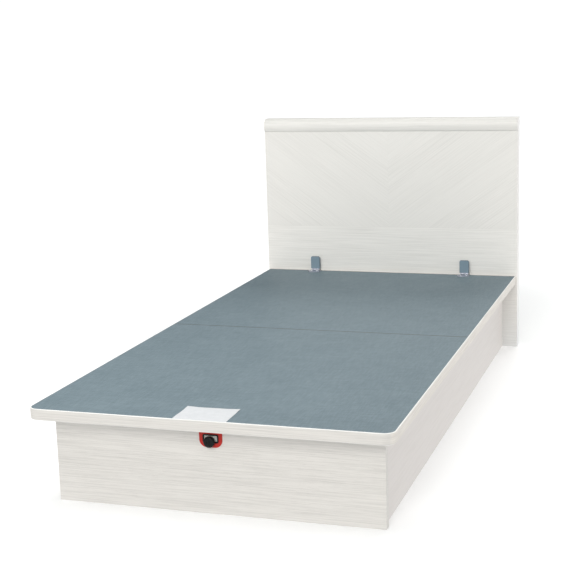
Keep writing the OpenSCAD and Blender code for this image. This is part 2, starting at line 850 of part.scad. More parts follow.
// A bent steel angle: a foot on the lid with round front corners, and the upright that the
// sleeve slides over.
module stop_bracket(x) {
    r = 8;
    b = stop_bend;
    y0 = stop_core_y + stop_steel - stop_foot;
    y1 = stop_core_y + stop_steel - b;
    color([0.7, 0.72, 0.76]) difference() {
        union() {
            in_side(x - stop_core_w / 2, stop_core_w) {
                translate([stop_core_y, lid_top + b]) square([stop_steel, stop_core_h - b]);
                translate([y1, lid_top + b]) intersection() {
                    difference() {
                        circle(b);
                        circle(b - stop_steel);
                    }
                    translate([0, -b]) square(b);
                }
            }
            translate([0, 0, lid_top]) linear_extrude(stop_steel) {
                translate([x - stop_foot_w / 2, y0 + r])
                    square([stop_foot_w, y1 - y0 - r]);
                translate([x - stop_foot_w / 2 + r, y0]) square([stop_foot_w - 2 * r, r]);
                for (d = [-1, 1]) translate([x + d * (stop_foot_w / 2 - r), y0 + r]) circle(r);
            }
        }
        stop_screw_set() screw_hole(14);
    }
}

module stop_bracket_left() { stop_bracket(-stop_x); }

module stop_bracket_right() { stop_bracket(stop_x); }

// Blue-grey sleeves over the uprights, their upper corners and rims round.
module stop_sleeves() {
    r = 7;
    rim = 2;
    z = lid_top + stop_rise;
    h = stop_h - stop_rise;
    color([0.45, 0.53, 0.58]) for (x = [-stop_x, stop_x]) difference() {
        translate([x, stop_y, z]) {
            translate([0, stop_t - rim, 0]) rotate([90, 0, 0])
                linear_extrude(stop_t - 2 * rim) sleeve_outline(0, h, r);
            for (y = [rim, stop_t]) translate([0, y, 0]) rotate([90, 0, 0])
                linear_extrude(rim) sleeve_outline(1, h, r);
        }
        translate([x - stop_core_w / 2 - 0.05, stop_core_y - 0.05, z - 1])
            cube([stop_core_w + 0.1, stop_steel + 0.1, stop_core_h - stop_rise + 1.1]);
    }
}

// Front outline of a sleeve, drawn in by the inset, with its upper corners round.
module sleeve_outline(inset, h, r) {
    w = stop_w - 2 * inset;
    translate([-w / 2, 0]) square([w, h - r]);
    translate([-stop_w / 2 + r, 0]) square([stop_w - 2 * r, h - inset]);
    for (d = [-1, 1]) translate([d * (stop_w / 2 - r), h - r]) circle(r - inset);
}

module stop_screw_set() {
    for (s = [-1, 1], d = [-11, 11])
        translate([s * stop_x + d, stop_y - 16, lid_top + stop_steel])
            rotate([180, 0, 0]) children();
}

module stop_screws() {
    color([0.8, 0.81, 0.82]) stop_screw_set() screw(14, 2, 4, 1.8);
}

// ---------- latch ----------

module rounded_slab(w, h, r) {
    translate([-w / 2 + r, -h / 2]) square([w - 2 * r, h]);
    translate([-w / 2, -h / 2 + r]) square([w, h - 2 * r]);
    for (x = [-1, 1], z = [-1, 1])
        translate([x * (w / 2 - r), z * (h / 2 - r)]) circle(r);
}

// Red plate on the foot panel, its lower corners round, with the knob's window.
module latch_plate() {
    top = box_h - 1;
    color([0.75, 0.2, 0.18])
        translate([latch_x, panel_y, 0]) rotate([90, 0, 0]) linear_extrude(latch_t)
            difference() {
                union() {
                    translate([-latch_w / 2, latch_z0 + latch_r])
                        square([latch_w, top - latch_z0 - latch_r]);
                    translate([-latch_w / 2 + latch_r, latch_z0])
                        square([latch_w - 2 * latch_r, latch_r]);
                    for (s = [-1, 1])
                        translate([s * (latch_w / 2 - latch_r), latch_z0 + latch_r])
                            circle(latch_r);
                }
                translate([0, latch_z]) rim_outline(0);
                for (s = [-1, 1]) translate([s * (latch_w / 2 - 9), top - 10])
                    circle(1.5 + run_gap);
            }
}

// Outline of the rim: round the window and round the spindle's boss, drawn in by the inset.
module rim_outline(inset) {
    translate([0, window_rise])
        rounded_slab(window_w + 2 * (rim_w - inset), window_h + 2 * (rim_w - inset), 5);
    circle(boss_r - inset);
}

// Black rim that lines the window, with the boss that the knob's neck turns in.
module latch_rim() {
    color([0.08, 0.08, 0.08])
        translate([latch_x, panel_y, latch_z]) rotate([90, 0, 0])
            linear_extrude(latch_t + 1) difference() {
                rim_outline(0.05);
                difference() {
                    translate([0, window_rise]) rounded_slab(window_w, window_h, 3);
                    circle(boss_r - 2);
                }
                circle(knob_neck_r + run_gap);
            }
}

module latch_screw_set() {
    for (s = [-1, 1])
        translate([latch_x + s * (latch_w / 2 - 9), panel_y - latch_t, box_h - 11])
            rotate([-90, 0, 0]) children();
}

module latch_screws() {
    color([0.7, 0.7, 0.72]) latch_screw_set() screw(12, 1.5, 3, 1.4);
}

// Knob, neck and spindle in one turning, along +Y.
module latch_knob() {
    color([0.07, 0.08, 0.08])
        translate([latch_x, panel_y - latch_t - knob_out, latch_z]) rotate([-90, 0, 0])
            rotate_extrude() {
                square([knob_r - 3, 12]);
                translate([0, 2]) square([knob_r, 8]);
                translate([knob_r - 2.5, 2.5]) circle(2.5);
                translate([knob_r - 2.5, 9.5]) circle(2.5);
                square([knob_neck_r, knob_out + latch_t - 0.3]);
                square([spindle_r, knob_out + latch_t + foot_t + 12]);
            }
}

// Cam on the spindle's inner end; it stands up when the latch is open.
module latch_cam() {
    color([0.7, 0.71, 0.73])
        translate([latch_x, inner_y + 8, latch_z]) rotate([90, 0, 180]) {
            difference() {
                union() {
                    linear_extrude(3) {
                        circle(9);
                        translate([-6, 0]) square([12, cam_l - 6]);
                        translate([0, cam_l - 6]) circle(6);
                    }
                    translate([0, 0, -7.7]) cylinder(h = 11, r = 7);
                }
                translate([0, 0, -10]) cylinder(h = 20, r = spindle_r + 0.02);
            }
        }
}

keeper_x = latch_x + 12;
keeper_w = 20;

// Hook under the lid: flange, strap and the lip that the cam turns over.
module latch_keeper() {
    color([0.68, 0.7, 0.72]) difference() {
        union() {
            translate([keeper_x, keeper_y, latch_z - 10])
                cube([keeper_w, 2, board_z - latch_z + 10]);
            translate([keeper_x, keeper_y, board_z - 3]) cube([keeper_w, 20, 3]);
            translate([keeper_x, inner_y + 6.5, latch_z - 10])
                cube([keeper_w, keeper_y - inner_y - 5, 3]);
        }
        keeper_screw_set() screw_hole(12);
    }
}

module keeper_screw_set() {
    for (d = [5, 15])
        translate([keeper_x + d, keeper_y + 13, board_z - 3]) children();
}

module keeper_screws() {
    color([0.75, 0.76, 0.78]) keeper_screw_set() screw(12, 1.75, 3.2, 1.6);
}

headboard_panel();
headboard_cap();
side_panel_left();
side_panel_right();
foot_panel();
floor_cleats();
joint_cleats();
bottom_board_head();
bottom_board_middle();
bottom_board_foot();
centre_divider();
divider_brackets();
corner_bracket_head_left();
corner_bracket_head_right();
corner_bracket_foot_left();
corner_bracket_foot_right();
bracket_screws();
lid_bumpers();
base_rail_left();
base_rail_right();
rail_screws();
pivot_pins();
lower_spring_pins();
latch_plate();
latch_rim();
latch_screws();
swing_arm_left();
swing_arm_right();
link_pins();
upper_spring_pins();
gas_tube_left();
gas_tube_right();
tube_eyelets();
gas_rod_left();
gas_rod_right();
rod_eyelets();
lid_board_foot();
lid_board_head();
lid_sheet_foot();
lid_sheet_head();
edge_band_foot();
edge_band_head();
long_batten_left();
long_batten_right();
cross_battens();
seam_batten();
batten_screws();
lid_arm_left();
lid_arm_right();
lid_arm_screws();
guide_pins();
guide_bushes();
stop_bracket_left();
stop_bracket_right();
stop_sleeves();
stop_screws();
latch_keeper();
keeper_screws();
latch_knob();
latch_cam();
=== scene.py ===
"""Looks of a gas-lift platform bed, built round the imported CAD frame."""

import math

import bmesh
import bpy
from bpy.props import FloatProperty, FloatVectorProperty, IntProperty, PointerProperty
from mathutils import Matrix, Vector


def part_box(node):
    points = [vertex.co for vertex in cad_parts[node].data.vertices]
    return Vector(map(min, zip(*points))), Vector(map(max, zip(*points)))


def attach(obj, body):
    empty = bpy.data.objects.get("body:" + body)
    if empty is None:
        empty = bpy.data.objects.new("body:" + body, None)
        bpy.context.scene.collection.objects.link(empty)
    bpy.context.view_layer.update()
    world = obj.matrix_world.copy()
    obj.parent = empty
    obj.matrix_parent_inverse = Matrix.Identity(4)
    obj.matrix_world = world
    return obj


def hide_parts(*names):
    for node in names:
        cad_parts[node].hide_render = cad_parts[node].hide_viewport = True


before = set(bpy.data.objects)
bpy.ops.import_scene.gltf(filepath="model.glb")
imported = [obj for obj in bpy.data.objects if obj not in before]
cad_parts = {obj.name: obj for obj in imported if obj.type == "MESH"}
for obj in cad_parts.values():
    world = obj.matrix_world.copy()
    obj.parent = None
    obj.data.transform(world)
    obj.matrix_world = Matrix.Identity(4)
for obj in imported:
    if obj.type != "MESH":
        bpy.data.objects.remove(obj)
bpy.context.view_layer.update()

bl_info = {
    "name": "Gas-lift platform bed",
    "version": (1, 0, 0),
    "blender": (4, 5, 0),
    "location": "3D View > Sidebar > Bed",
    "description": "Finishes, small pieces and studio for the platform bed",
    "category": "Object",
}

LID_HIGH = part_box("lid_sheet_foot")[1]
LID_HEAD_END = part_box("lid_sheet_head")[1].y
BAND_LOW, BAND_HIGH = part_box("edge_band_foot")
HEAD_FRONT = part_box("headboard_panel")[0].y

# Shared colours, in linear light
EDGE_TAPE = (0.97, 0.965, 0.95)
DUST_ON_WOOD = (0.62, 0.60, 0.56)
DUST_ON_PAINT = (0.55, 0.53, 0.50)
BARE_STEEL = (0.45, 0.45, 0.46)
WARM_LAMP = (1.0, 0.99, 0.97)

# Depth of the relief in metres
GRAIN_RELIEF = 0.00016
TAPE_RELIEF = 0.00012
LINEN_RELIEF = 0.00012
COAT_RELIEF = 0.00004

# Edges sharper than this stay sharp on the smooth pieces
SHARP_ANGLE = math.radians(32)


# ---------- sizes and colours to change ----------


def length(name, description, default):
    """A size in metres."""
    return FloatProperty(
        name=name, description=description, default=default, min=0.0, unit="LENGTH", precision=5
    )


def colour(name, description, default):
    """A colour, in linear light."""
    return FloatVectorProperty(
        name=name, description=description, default=default, size=3, min=0.0, max=1.0,
        subtype="COLOR",
    )


class BedSizes(bpy.types.PropertyGroup):
    """Sizes of the finishes and of the small pieces."""

    streak: length("Streak width", "Width of the grain's fine lines", 0.0024)
    streak_band: length("Band width", "Width of the grain's soft bands", 0.038)
    streak_length: length("Streak length", "Length of the grain's lines", 0.17)
    chevron_low: length("Chevron's lower line", "Height where the chevron field starts", 0.4465)
    chevron_angle: FloatProperty(
        name="Chevron angle", description="Rise of the chevron's grain towards the sides",
        default=math.radians(36), subtype="ANGLE",
    )
    thread: length("Thread pitch", "Distance between two threads of the linen grain", 0.0012)
    knob_flutes: IntProperty(
        name="Knob flutes", description="Number of grip flutes round the knob", default=14, min=6
    )
    paper_width: length("Paper width", "Width of the loose paper sheet", 0.143)
    paper_length: length("Paper length", "Length of the loose paper sheet", 0.105)
    paper_x: length("Paper place", "Left edge of the paper, from the middle", 0.079)
    paper_rise: length("Paper curl", "Rise of the paper's free corners", 0.0022)


class BedColours(bpy.types.PropertyGroup):
    """Colours of the finishes."""

    grain_light: colour("Grain, light", "Light ground of the white grain", (0.80, 0.775, 0.735))
    grain_dark: colour("Grain, dark", "Lines of the white grain", (0.64, 0.62, 0.585))
    head_light: colour("Headboard, light", "Ground of the headboard", (0.840, 0.822, 0.785))
    head_dark: colour("Headboard, dark", "Lines of the headboard", (0.68, 0.665, 0.63))
    side_light: colour("Side, light", "Light ground of the side panels", (0.785, 0.745, 0.715))
    side_dark: colour("Side, dark", "Speckle of the side panels", (0.70, 0.66, 0.63))
    linen: colour("Linen", "Blue-grey of the lid's sheet", (0.117, 0.165, 0.191))
    linen_pale: colour("Linen, pale", "Pale threads of the lid's sheet", (0.225, 0.287, 0.321))
    pine: colour("Pine", "Ground of the unfinished timber", (0.66, 0.48, 0.29))
    pine_dark: colour("Pine, dark", "Late wood of the unfinished timber", (0.47, 0.30, 0.15))
    latch_red: colour("Latch red", "Paint of the latch plate", (0.51, 0.030, 0.022))
    stop_blue: colour("Stop blue", "Colour of the stops' sleeves", (0.195, 0.268, 0.322))


def sizes():
    return bpy.context.scene.bed_sizes


def colours():
    return bpy.context.scene.bed_colours


# ---------- shader nodes ----------


class Nodes:
    """Adds and links the nodes of one tree."""

    def __init__(self, tree):
        self.tree = tree

    def put(self, socket, value):
        """Sets a socket to a number or colour, or links it to an output."""
        if isinstance(value, bpy.types.NodeSocket):
            self.tree.links.new(value, socket)
        elif socket.type == "RGBA" and len(value) == 3:
            socket.default_value = (*value, 1.0)
        else:
            socket.default_value = value

    def add(self, kind, *values, out=0, named=None, **settings):
        """Adds a node with its first inputs set, and gives one output."""
        node = self.tree.nodes.new("ShaderNode" + kind)
        for key, value in settings.items():
            setattr(node, key, value)
        for socket, value in zip(node.inputs, values):
            if value is not None:
                self.put(socket, value)
        for key, value in (named or {}).items():
            self.put(node.inputs[key], value)
        return node.outputs[out]

    def maths(self, operation, *values, clamp=False):
        return self.add("Math", *values, operation=operation, use_clamp=clamp)

    def times(self, a, b, plus=None, clamp=False):
        operation = "MULTIPLY" if plus is None else "MULTIPLY_ADD"
        return self.maths(operation, a, b, plus, clamp=clamp)

    def vector(self, operation, *values):
        return self.add("VectorMath", *values, operation=operation)

    def point(self, x, y, z):
        return self.add("CombineXYZ", x, y, z)

    def axes(self, vector):
        """The three numbers of a vector."""
        node = self.tree.nodes.new("ShaderNodeSeparateXYZ")
        self.put(node.inputs[0], vector)
        return tuple(node.outputs)

    def coords(self, kind="Object"):
        return self.add("TexCoord", out=kind)

    def noise(self, vector, scale=1.0, detail=2.0, roughness=0.5, distortion=0.0):
        return self.add("TexNoise", named={"Vector": vector, "Scale": scale, "Detail": detail,
                                           "Roughness": roughness, "Distortion": distortion})

    def between(self, value, low, high, to_low=0.0, to_high=1.0, smooth=False):
        """Maps a value from one range to another, clamped."""
        return self.add("MapRange", value, low, high, to_low, to_high,
                        interpolation_type="SMOOTHSTEP" if smooth else "LINEAR")

    def mix(self, factor, a, b, kind="RGBA"):
        """Mixes two colours, or two vectors with kind VECTOR."""
        first, out = {"VECTOR": (4, 1), "RGBA": (6, 2)}[kind]
        node = self.tree.nodes.new("ShaderNodeMix")
        node.data_type = kind
        for place, value in ((0, factor), (first, a), (first + 1, b)):
            self.put(node.inputs[place], value)
        return node.outputs[out]

    def group(self, name, **values):
        """Places a node group and gives its outputs."""
        node = self.tree.nodes.new("ShaderNodeGroup")
        node.node_tree = bpy.data.node_groups[name]
        for key, value in values.items():
            self.put(node.inputs[key], value)
        return node.outputs


def new_group(name, takes, gives):
    """An empty shader group; gives its Nodes, and what goes into and out of it."""
    tree = bpy.data.node_groups.new(name, "ShaderNodeTree")
    for key, kind, default in takes:
        socket = tree.interface.new_socket(key, in_out="INPUT", socket_type="NodeSocket" + kind)
        if default is not None:
            socket.default_value = default
    for key, kind in gives:
        tree.interface.new_socket(key, in_out="OUTPUT", socket_type="NodeSocket" + kind)
    start = tree.nodes.new("NodeGroupInput")
    end = tree.nodes.new("NodeGroupOutput")
    return Nodes(tree), start.outputs, end.inputs


def group_printed_grain():
    """Fine lines, soft bands and pores that run along the vector's X."""
    band_share, streak_share, pore_share = 0.06, 0.60, 0.20
    g, into, out = new_group(
        "Printed grain",
        [("Vector", "Vector", None), ("Light", "Color", (1, 1, 1, 1)),
         ("Dark", "Color", (0, 0, 0, 1)), ("Contrast", "Float", 1.0),
         ("Streak", "Float", 0.004), ("Band", "Float", 0.04), ("Length", "Float", 0.3)],
        [("Color", "Color"), ("Height", "Float"), ("Roughness", "Float")],
    )
    along = g.maths("DIVIDE", 1.0, into["Length"])
    by_band = g.maths("DIVIDE", 1.0, into["Band"])
    by_streak = g.maths("DIVIDE", 1.0, into["Streak"])
    bands = g.noise(g.vector("MULTIPLY", into["Vector"], g.point(along, by_band, by_band)),
                    detail=2.5, distortion=0.25)
    streaks = g.noise(g.vector("MULTIPLY", into["Vector"],
                               g.point(along, by_streak, by_streak)),
                      detail=3.0, roughness=0.6)
    # Pores are six times shorter and three times finer than the lines
    by_pore = g.times(by_streak, 3.0)
    fine = g.noise(g.vector("MULTIPLY", into["Vector"],
                            g.point(g.times(along, 6.0), by_pore, by_pore)))
    pores = g.between(fine, 0.60, 0.68)
    lines = g.times(g.between(bands, 0.34, 0.66), band_share,
                    plus=g.times(g.between(streaks, 0.42, 0.66), streak_share))
    marks = g.times(pores, pore_share, plus=lines)
    tone = g.times(marks, into["Contrast"], clamp=True)
    g.put(out["Color"], g.mix(tone, into["Light"], into["Dark"]))
    g.put(out["Height"], g.maths("SUBTRACT", 1.0, g.times(pores, 0.7, plus=tone)))
    g.put(out["Roughness"], g.between(tone, 0.0, 1.0, 0.42, 0.56))


def group_linen():
    """Threads that cross along X and Y, with slubs of lighter yarn."""
    slub_share, thread_share = 0.38, 0.16
    g, into, out = new_group(
        "Linen weave",
        [("Vector", "Vector", None), ("Deep", "Color", (0, 0, 0, 1)),
         ("Pale", "Color", (1, 1, 1, 1)), ("Thread", "Float", 0.001)],
        [("Color", "Color"), ("Height", "Float"), ("Roughness", "Float")],
    )
    x, y = g.axes(into["Vector"])[:2]
    turn = g.maths("DIVIDE", math.pi, into["Thread"])
    warp = g.maths("ABSOLUTE", g.maths("SINE", g.times(x, turn)))
    weft = g.maths("ABSOLUTE", g.maths("SINE", g.times(y, turn)))
    over = g.maths("GREATER_THAN", g.maths("SINE", g.times(g.maths("ADD", x, y), turn)), 0.0)
    weave = g.maths("ADD", g.times(warp, over), g.times(weft, g.maths("SUBTRACT", 1.0, over)))
    # Slubs are some 40 mm long and 4 mm wide, along either thread
    slub_x, slub_y = (
        g.noise(g.vector("MULTIPLY", into["Vector"], per_metre), detail=4.0, roughness=0.62)
        for per_metre in ((22.0, 260.0, 1.0), (280.0, 24.0, 1.0))
    )
    cloud = g.noise(into["Vector"], scale=7.0, detail=4.0, roughness=0.6)
    slubs = g.maths("ADD", g.between(slub_x, 0.36, 0.66), g.between(slub_y, 0.38, 0.68))
    clouded = g.times(slubs, slub_share, plus=g.between(cloud, 0.25, 0.75, -0.08, 0.14))
    tone = g.times(weave, thread_share, plus=clouded, clamp=True)
    g.put(out["Color"], g.mix(tone, into["Deep"], into["Pale"]))
    g.put(out["Height"], g.times(slubs, 0.5, plus=weave))
    g.put(out["Roughness"], g.between(tone, 0.0, 1.0, 0.50, 0.62))


def group_edge_wear():
    """A mask that is 1 on sharp edges, broken up by noise."""
    g, into, out = new_group(
        "Edge wear",
        [("Vector", "Vector", None), ("Width", "Float", 0.001), ("Amount", "Float", 0.5)],
        [("Mask", "Float")],
    )
    soft = g.add("Bevel", into["Width"], samples=4)
    hard = g.add("NewGeometry", out="True Normal")
    turned = g.add("VectorMath", soft, hard, operation="DOT_PRODUCT", out="Value")
    edge = g.between(turned, 0.99, 0.86)
    broken = g.between(g.noise(into["Vector"], scale=160.0, detail=4.0), 0.40, 0.62)
    g.put(out["Mask"], g.times(g.times(edge, broken), into["Amount"], clamp=True))


def group_dust():
    """A mask of fine dust on what faces up."""
    g, into, out = new_group(
        "Settled dust",
        [("Vector", "Vector", None), ("Amount", "Float", 0.2)],
        [("Mask", "Float")],
    )
    up = g.axes(g.coords("Normal"))[2]
    cloud = g.noise(into["Vector"], scale=14.0, detail=5.0, roughness=0.65)
    specks = g.between(g.noise(into["Vector"], scale=900.0, detail=1.0), 0.55, 0.75)
    film = g.times(specks, 0.4, plus=g.between(cloud, 0.35, 0.75))
    lying = g.times(g.between(up, 0.3, 0.95), film)
    g.put(out["Mask"], g.times(lying, into["Amount"], clamp=True))


def group_orange_peel():
    """The fine dimples and gloss changes of a powder coat or a moulded face."""
    g, into, out = new_group(
        "Dimples",
        [("Vector", "Vector", None), ("Pitch", "Float", 0.001), ("Roughness", "Float", 0.4)],
        [("Height", "Float"), ("Roughness", "Float"), ("Tone", "Float")],
    )
    scale = g.maths("DIVIDE", 1.0, into["Pitch"])
    fine = g.noise(into["Vector"], scale=scale)
    broad = g.noise(into["Vector"], scale=g.times(scale, 0.04), detail=3.0)
    g.put(out["Height"], fine)
    g.put(out["Roughness"], g.times(g.maths("SUBTRACT", broad, 0.5), 0.28,
                                    plus=into["Roughness"], clamp=True))
    g.put(out["Tone"], g.times(fine, 0.4, plus=g.times(broad, 0.6)))


def build_groups():
    if "Printed grain" not in bpy.data.node_groups:
        group_printed_grain()
        group_linen()
        group_edge_wear()
        group_dust()
        group_orange_peel()


# ---------- finishes ----------


def start_finish(name):
    """A new material; gives it, its Nodes and its Principled BSDF."""
    build_groups()
    material = bpy.data.materials.new(name)
    material.use_nodes = True
    return material, Nodes(material.node_tree), material.node_tree.nodes["Principled BSDF"]


def dress(g, shader, tint, roughness, height, depth, strength=1.0):
    """Feeds the shader its colour, roughness and relief."""
    g.put(shader.inputs["Base Color"], tint)
    g.put(shader.inputs["Roughness"], roughness)
    bump = g.add("Bump", named={"Height": height, "Distance": depth, "Strength": strength})
    g.put(shader.inputs["Normal"], bump)


def wood_vector(g, along):
    """Object coordinates turned so that X runs along the grain: x, y or round."""
    x, y, z = g.axes(g.coords())
    if along == "x":
        return g.point(x, y, z)
    if along == "y":
        return g.point(y, x, z)
    # Round the lid's edge: X and Y both count as length, Y a little more
    return g.point(g.maths("SUBTRACT", x, g.times(y, 1.31)), 0.0, z)


def printed_grain(g, vector, light, dark, contrast, streak=None, stretch=1.0):
    """Places the printed grain, with its bands and lines stretched by a factor."""
    size = sizes()
    return g.group(
        "Printed grain", Vector=vector, Light=light, Dark=dark, Contrast=contrast,
        Streak=streak or size.streak, Band=size.streak_band * stretch,
        Length=size.streak_length * stretch,
    )


def dusted(g, tint, amount, dust):
    """A colour with dust settled on it."""
    return g.mix(g.group("Settled dust", Vector=g.coords(), Amount=amount)["Mask"], tint, dust)


def side_face(g, starts=0.75, full=0.95):
    """1 on faces that look to the bed's left or right."""
    return g.between(g.maths("ABSOLUTE", g.axes(g.coords("Normal"))[0]), starts, full)


def laminate(name, along, light, dark, contrast, streak=None, dust=0.0, taped=False):
    """Printed wood-grain laminate; where taped, the narrow side faces have plain white tape."""
    material, g, shader = start_finish(name)
    grain = printed_grain(g, wood_vector(g, along), light, dark, contrast, streak)
    wear = g.group("Edge wear", Vector=g.coords(), Width=0.0012, Amount=0.25)["Mask"]
    tint = g.mix(wear, grain["Color"], scaled(light, 1.08))
    if taped:
        tint = g.mix(side_face(g), tint, EDGE_TAPE)
    if dust:
        tint = dusted(g, tint, dust, DUST_ON_WOOD)
    dress(g, shader, tint, grain["Roughness"], grain["Height"], GRAIN_RELIEF)
    return material


def chevron_laminate():
    """The headboard: grain that rises to both sides above the pressed line, level below it."""
    size, paint = sizes(), colours()
    material, g, shader = start_finish("chevron_laminate")
    where = g.coords()
    x, y, z = g.axes(where)
    right = g.maths("GREATER_THAN", x, 0.0)
    run = g.maths("ABSOLUTE", x)
    cos, sin = math.cos(size.chevron_angle), math.sin(size.chevron_angle)
    along = g.maths("ADD", g.times(run, cos), g.times(z, sin))
    across = g.maths("SUBTRACT", g.times(z, cos), g.times(run, sin))
    # The two sides are cut from different places of the print, 3.7 m apart
    apart = g.times(right, 3.7)
    slanted = g.point(g.maths("ADD", along, apart), g.maths("ADD", across, apart), y)
    in_field = g.times(g.maths("GREATER_THAN", z, size.chevron_low),
                       g.maths("LESS_THAN", y, HEAD_FRONT + 0.002))
    vector = g.mix(in_field, g.point(x, y, z), slanted, kind="VECTOR")
    # Strips meet at the mitre. They differ a little in tone and in their lines
    strip_width, joint_tone, strip_tone, mitre_tone = 0.068, 0.40, 0.15, 0.10
    place = g.maths("DIVIDE", across, strip_width)
    strip = g.maths("FLOOR", place)
    tone = g.noise(g.point(strip, 3.1, 0.7), scale=7.3, detail=0.0)
    lines = g.noise(g.point(strip, 8.3, 2.9), scale=5.7, detail=0.0)
    level_contrast = 0.85
    more = g.maths("SUBTRACT", g.between(lines, 0.35, 0.62, 0.40, 0.78), level_contrast)
    contrast = g.times(in_field, more, plus=level_contrast)
    # The level field is a shade lighter than the chevron
    ground = g.mix(in_field, scaled(paint.head_light, 1.045), paint.head_light)
    grain = printed_grain(g, vector, ground, paint.head_dark, contrast, stretch=1.3)
    shade = g.times(g.between(tone, 0.3, 0.7, 0.0, strip_tone), in_field)
    tint = g.mix(shade, grain["Color"], paint.head_dark)
    # A few strips have a dark joint
    from_joint = g.times(g.maths("FRACT", place), strip_width)
    joint = g.times(g.between(from_joint, 0.0026, 0.0008, 0.0, joint_tone),
                    g.times(g.maths("GREATER_THAN", lines, 0.55), in_field))
    tint = g.mix(joint, tint, paint.head_dark)
    tint = g.mix(side_face(g), tint, EDGE_TAPE)
    # Painted shade greys the panel's foot, up to the height of the lid
    tint = g.mix(g.between(z, 0.20, 0.0), tint,
                 g.vector("MULTIPLY", tint, (0.90, 0.92, 0.945)))
    mitre = g.times(g.between(run, 0.0010, 0.0, 0.0, mitre_tone), in_field)
    tint = g.mix(mitre, tint, paint.head_dark)
    dress(g, shader, tint, grain["Roughness"], grain["Height"], GRAIN_RELIEF)
    return material


def linen_sheet():
    """Blue-grey sheet with a printed linen weave; its brown core shows where it was cut, and as
    painted shade at the head end.
    """
    size, paint = sizes(), colours()
    core = (0.075, 0.055, 0.045)
    material, g, shader = start_finish("linen_decor_sheet")
    where = g.coords()
    weave = g.group("Linen weave", Vector=where, Deep=paint.linen, Pale=paint.linen_pale,
                    Thread=size.thread)
    # The cut lies at the seam, where the foot's sheet ends. At the head end the brown line is
    # partly a cut edge and partly painted shade of the gap at the headboard
    y = g.axes(where)[1]
    from_seam = g.maths("ABSOLUTE", g.maths("SUBTRACT", y, LID_HIGH.y))
    head_end_shade = g.between(y, LID_HEAD_END - 0.0045, LID_HEAD_END - 0.0030)
    cut = g.maths("MAXIMUM", g.between(from_seam, 0.0020, 0.0011), head_end_shade)
    shader.inputs["Specular IOR Level"].default_value = 0.22
    dress(g, shader, g.mix(cut, weave["Color"], core), weave["Roughness"], weave["Height"],
          LINEN_RELIEF, strength=0.7)
    return material


def edge_band():
    """Printed edge tape; its plain white core shows where the arrises were trimmed round."""
    paint = colours()
    material, g, shader = start_finish("edge_band_tape")
    where = g.coords()
    grain = printed_grain(g, wood_vector(g, "round"), scaled(paint.grain_light, 0.985),
                          scaled(paint.grain_dark, 0.965), contrast=1.15)
    # The trimmed arris is the outer 1.1 mm, and fades over 0.6 mm
    height = g.axes(where)[2]
    trimmed = g.maths("MAXIMUM", g.between(height, BAND_HIGH.z - 0.0017, BAND_HIGH.z - 0.0011),
                      g.between(height, BAND_LOW.z + 0.0017, BAND_LOW.z + 0.0011))
    fine = g.noise(where, scale=700.0)
    core = g.mix(fine, (0.90, 0.89, 0.87), (0.97, 0.96, 0.94))
    # Painted light: the long sides' tape is made a shade lighter and warmer than the foot's, as
    # if lit more
    tape = g.mix(side_face(g, 0.6, 0.8), grain["Color"],
                 g.vector("MULTIPLY", grain["Color"], (1.093, 1.075, 1.049)))
    roughness = g.maths("SUBTRACT", grain["Roughness"], g.times(trimmed, 0.12))
    dress(g, shader, g.mix(trimmed, tape, core), roughness, grain["Height"], TAPE_RELIEF)
    return material


def particle_board():
    """Flakes of the core on cut faces; a pale backing foil on the face that looks down."""
    deep_flake, pale_flake, resin = (0.50, 0.36, 0.21), (0.70, 0.55, 0.37), (0.38, 0.25, 0.13)
    foil_dark, foil_light = (0.56, 0.58, 0.59), (0.62, 0.64, 0.65)
    material, g, shader = start_finish("particle_board")
    where = g.coords()
    flakes = g.add("TexVoronoi", out="Color", named={"Vector": where, "Scale": 420.0})
    tone = g.axes(flakes)[0]
    small = g.noise(where, scale=900.0, detail=3.0)
    mixed = g.mix(g.between(tone, 0.0, 1.0), deep_flake, pale_flake)
    core = g.mix(g.between(small, 0.55, 0.75), mixed, resin)
    foil = g.mix(g.between(g.noise(where, scale=60.0, detail=5.0), 0.35, 0.65),
                 foil_dark, foil_light)
    down = g.between(g.axes(g.coords("Normal"))[2], -0.8, -0.9)
    dress(g, shader, g.mix(down, core, foil), g.between(tone, 0.0, 1.0, 0.70, 0.88),
          g.maths("ADD", tone, small), depth=0.0003)
    return material


def timber(name, along):
    """Planed pine: growth rings, late-wood lines and pores."""
    paint = colours()
    material, g, shader = start_finish(name)
    vector = wood_vector(g, along)
    # The growth rings wander by some 12 mm across the grain
    wander = g.add("TexNoise", out=1, named={
        "Vector": g.vector("MULTIPLY", vector, (2.0, 14.0, 14.0)), "Detail": 2.0})
    bent = g.vector("ADD", vector, g.vector("MULTIPLY", wander, (0.0, 0.012, 0.012)))
    rings = g.add(
        "TexWave", out=1,
        named={"Vector": g.vector("MULTIPLY", bent, (3.0, 150.0, 150.0)), "Scale": 0.22,
               "Distortion": 2.2, "Detail": 2.0},
        wave_type="BANDS", bands_direction="Y",
    )
    grain = g.group("Printed grain", Vector=vector, Light=paint.pine, Dark=paint.pine_dark,
                    Contrast=0.55, Streak=0.002, Band=0.02, Length=0.25)
    tint = g.mix(g.between(rings, 0.55, 1.0, 0.0, 0.55), grain["Color"], paint.pine_dark)
    dress(g, shader, dusted(g, tint, 0.25, DUST_ON_WOOD),
          g.between(rings, 0.0, 1.0, 0.72, 0.58), g.maths("ADD", grain["Height"], rings),
          depth=0.0002)
    return material


